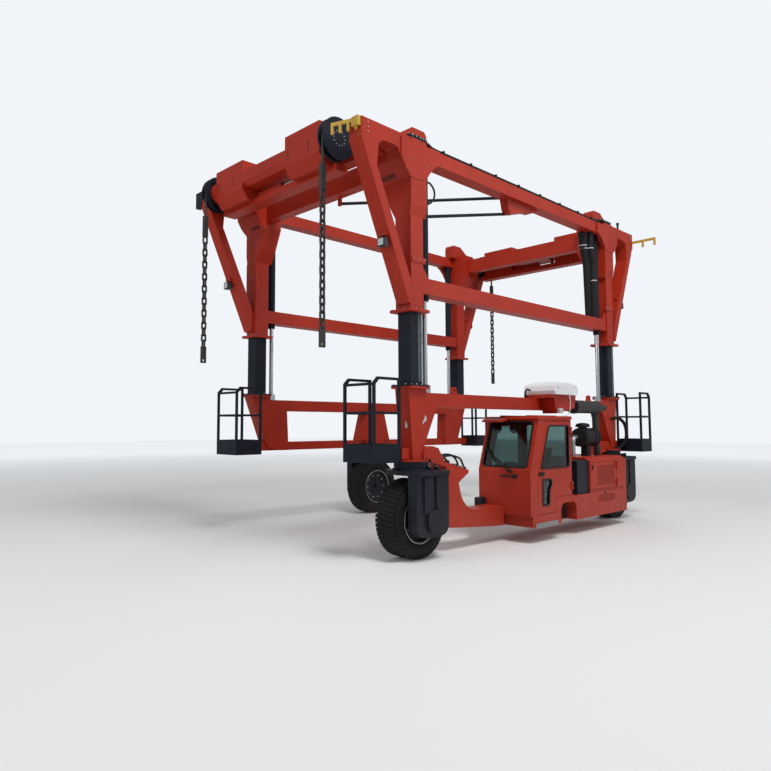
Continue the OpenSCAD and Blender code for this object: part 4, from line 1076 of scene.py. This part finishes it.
def makeHoseBoxes(ends, low, high, lane, fittings, sideZ, clips):
    bm, fittingBm = bmesh.new(), bmesh.new()  # dark boxes where the beam hoses end on the heads
    y = mastFace(1, lane)
    for sx in (1, -1):
        addBox(bm, (sx * ends[0], y - 0.036, low), (sx * ends[1], y + 0.055, high), 0.008)
        for x in fittings:
            addRod(fittingBm, (sx * x, y + 0.050, sideZ), (sx * x, y + 0.068, sideZ), 0.013)
            addRod(fittingBm, (sx * x, y, high - 0.002), (sx * x, y, high + 0.022), 0.010)
    for x in clips:
        addBox(bm, (x - 0.018, y - 0.042, beamTop - 0.002), (x + 0.018, y + 0.044, beamTop + 0.064), 0.006)
    newPiece("hoseBoxes", bm, "black_plastic", "gantry")
    newPiece("hoseFittings", fittingBm, "bare_steel", "gantry")


slideStrips = {"places": (0.055, 0.100), "half": 0.011, "low": 2.42, "high": 4.78, "out": 0.118}


def makeSlideStrips(places, half, low, high, out):
    bm = bmesh.new()
    for sx, sy in corners:
        face = mastFace(sy, out)
        for place in places:
            x = sx * mast["x"] - place
            addBox(bm, (x - half, face - sy * 0.002, low), (x + half, face + sy * 0.001, high))
    newPiece("slideStrips", bm, "slide_steel", "chassis")


for row in flanges["rows"]:
    makeFlangeBolts(*row)
for wheelName in wheels:
    makeRingBolts(wheelName)
makeTipBolts()
for end, sx in endSigns.items():
    makeSheaveBolts(end, sx)
makeHeadPlates()
makeHeadMarks(**headMarks)
for end, sx in endSigns.items():
    makeHousingSlots(end, sx, **housingSlots)
boxPiece("headBrackets", headBrackets, "dark_paint", "gantry")
makeSleeveTies()
makeHoseBoxes(**hoseBoxes)
makeSlideStrips(**slideStrips)
print("bolts and plates made")

# Lamps

lamps = {  # name: finish, where up is counted from, along, half width, up and bevel
    "lampHoods": ("orange_paint", "top", (-0.26, -0.03), 0.07, (0.03, 0.08), 0.006),
    "lampFrames": ("black_plastic", "middle", (-0.002, 0.010), 0.066, (-0.062, 0.062), 0.004),
    "lampLenses": ("lamp_lens", "middle", (0.006, 0.013), 0.050, (-0.046, 0.046), 0.0),
}
lampOut = 0.060
pedestalLamp = [((-0.47, 2.245, 2.015), (-0.36, 2.30, 2.10), 0.01)]


def makeLamps():
    low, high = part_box("work_lamps")
    heights = {"top": high.z, "middle": (low.z + high.z) / 2}
    for name, (finish, level, (back, front), half, (down, up), bevel) in lamps.items():
        bm, z = bmesh.new(), heights[level]
        for sx, sy in corners:
            near, far, y = sx * (high.x + back), sx * (high.x + front), mastFace(sy, lampOut)
            addBox(bm, (near, y - half, z + down), (far, y + half, z + up), bevel)
        newPiece(name, bm, finish, "gantry")


makeLamps()
boxPiece("pedestalLamp", pedestalLamp, "lamp_lens", "chassis")

# Seat with padded cushions

seat = {
    "middle": 2.025,
    "cushion": {"low": (-0.078, 0.772), "high": (0.378, 0.848), "half": 0.233, "face": 2},
    "back": {"low": (-0.123, 0.907), "high": (-0.052, 1.463), "half": 0.218, "face": 0},
    "cuts": 9, "taper": 0.06, "crown": 0.028,
    "seam": {"depth": 0.012, "at": 0.52, "width": 0.09},
    "lean": -8, "hinge": (-0.04, 0.90),
    "foot": ((-0.06, -0.13, 0.462), (0.22, 0.13, 0.62), 0.02),
    "folds": (0.62, 0.655, 0.69, 0.725),
    "pan": ((-0.110, -0.21, 0.755), (0.36, 0.21, 0.775), 0.006),
    "armOut": 0.235,
    "spine": (((-0.120, -0.249, 0.762), (-0.080, 0.249, 0.802), 0.008),
              ((-0.112, -0.17, 0.780), (-0.088, 0.17, 1.05), 0.008)),
}
swelling = {"voxel": 0.010, "pressure": 4.0, "frames": 20, "reach": 0.012}


def padMesh(pad):
    bm = bmesh.new()
    y, face, seam = laneToRow(seat["middle"]), pad["face"], seat["seam"]
    low = Vector((pad["low"][0], y - pad["half"], pad["low"][1]))
    high = Vector((pad["high"][0], y + pad["half"], pad["high"][1]))
    addBox(bm, low, high)
    bmesh.ops.subdivide_edges(bm, edges=list(bm.edges), cuts=seat["cuts"], use_grid_fill=True)
    middle, half = (low + high) / 2, (high - low) / 2
    first, second = [i for i in range(3) if i != face]
    for vert in bm.verts:
        u = [(vert.co[i] - middle[i]) / half[i] for i in range(3)]
        dome = (1 - u[first] ** 2) * (1 - u[second] ** 2)
        pull = 1 - seat["taper"] * u[face] ** 2
        for i in (first, second):
            vert.co[i] = middle[i] + half[i] * u[i] * pull
        if u[face] > 0:
            vert.co[face] += seat["crown"] * dome
            vert.co[face] -= seam["depth"] * math.exp(-((abs(u[second]) - seam["at"]) / seam["width"]) ** 2)
    return bm


def settledMesh(piece):
    depsgraph = bpy.context.evaluated_depsgraph_get()
    mesh = bpy.data.meshes.new_from_object(piece.evaluated_get(depsgraph))
    piece.modifiers.clear()
    return mesh


def swellPad(piece):
    scene = bpy.context.scene
    remesh = piece.modifiers.new("remesh", "REMESH")
    remesh.mode = "VOXEL"
    remesh.voxel_size = swelling["voxel"]
    piece.data = settledMesh(piece)
    before = [vert.co.copy() for vert in piece.data.vertices]
    cloth = piece.modifiers.new("cloth", "CLOTH")
    cloth.settings.use_pressure = True
    cloth.settings.uniform_pressure_force = swelling["pressure"]
    cloth.settings.effector_weights.gravity = 0
    for number in range(1, swelling["frames"] + 1):
        scene.frame_set(number)
    swollen = settledMesh(piece)
    for vert, start in zip(swollen.vertices, before):
        moved = vert.co - start
        if moved.length > swelling["reach"]:
            vert.co = start + moved.normalized() * swelling["reach"]
    piece.data = swollen
    swollen.polygons.foreach_set("use_smooth", [True] * len(swollen.polygons))
    scene.frame_set(1)


def makeSeatBase():
    bm = bmesh.new()
    middle = seat["middle"]
    folds = [((-0.02, -0.10, z), (0.18, 0.10, z + 0.028), 0.010) for z in seat["folds"]]
    addBoxes(bm, [seat["foot"], *folds, seat["pan"]], middle)
    for side in (1, -1):
        arm = side * seat["armOut"]
        addBoxes(bm, [((-0.02, arm - 0.03, 0.985), (0.26, arm + 0.03, 1.03), 0.012)], middle)
        addRod(bm, rowPoint(-0.10, middle + arm, 0.79), rowPoint(-0.02, middle + arm, 1.01), 0.014)
    addBoxes(bm, seat["spine"], middle)
    return newPiece("seatBase", bm, "black_plastic", "chassis")


def makeSeat():
    cushion = newPiece("seatCushion", padMesh(seat["cushion"]), "black_plastic", "chassis", smooth=True)
    bm = padMesh(seat["back"])
    hingeX, hingeZ = seat["hinge"]
    bmesh.ops.rotate(bm, cent=rowPoint(hingeX, seat["middle"], hingeZ),
                     matrix=Matrix.Rotation(math.radians(seat["lean"]), 3, "Y"), verts=bm.verts)
    back = newPiece("seatBack", bm, "black_plastic", "chassis", smooth=True)
    for pad in (cushion, back):
        swellPad(pad)
        rounding = pad.modifiers.new("rounding", "SUBSURF")
        rounding.levels = rounding.render_levels = 1
    base = makeSeatBase()
    for piece in (cushion, back, base):
        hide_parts("operator_seat")


makeSeat()
print("seat made")

# Silver intake elbow and post

elbow = {
    "radius": 0.045,
    "points": [(-1.31, 2.083, 1.59), (-1.25, 2.083, 1.59), (-1.19, 2.083, 1.57), (-1.16, 2.083, 1.51),
               (-1.155, 2.083, 1.42), (-1.155, 2.083, 1.252)],
}
makeHose("intakeElbow", elbow["points"], elbow["radius"], "chassis", finish="bare_steel", free=False)
post = {"place": (-3.62, 1.90), "rods": ((5.868, 6.06, 0.020), (6.03, 6.075, 0.028))}


def makePost():
    bm = bmesh.new()
    for low, high, radius in post["rods"]:
        addUpright(bm, *post["place"], low, high, radius, 20)
    newPiece("rearPost", bm, "black_plastic", "gantry")


makePost()
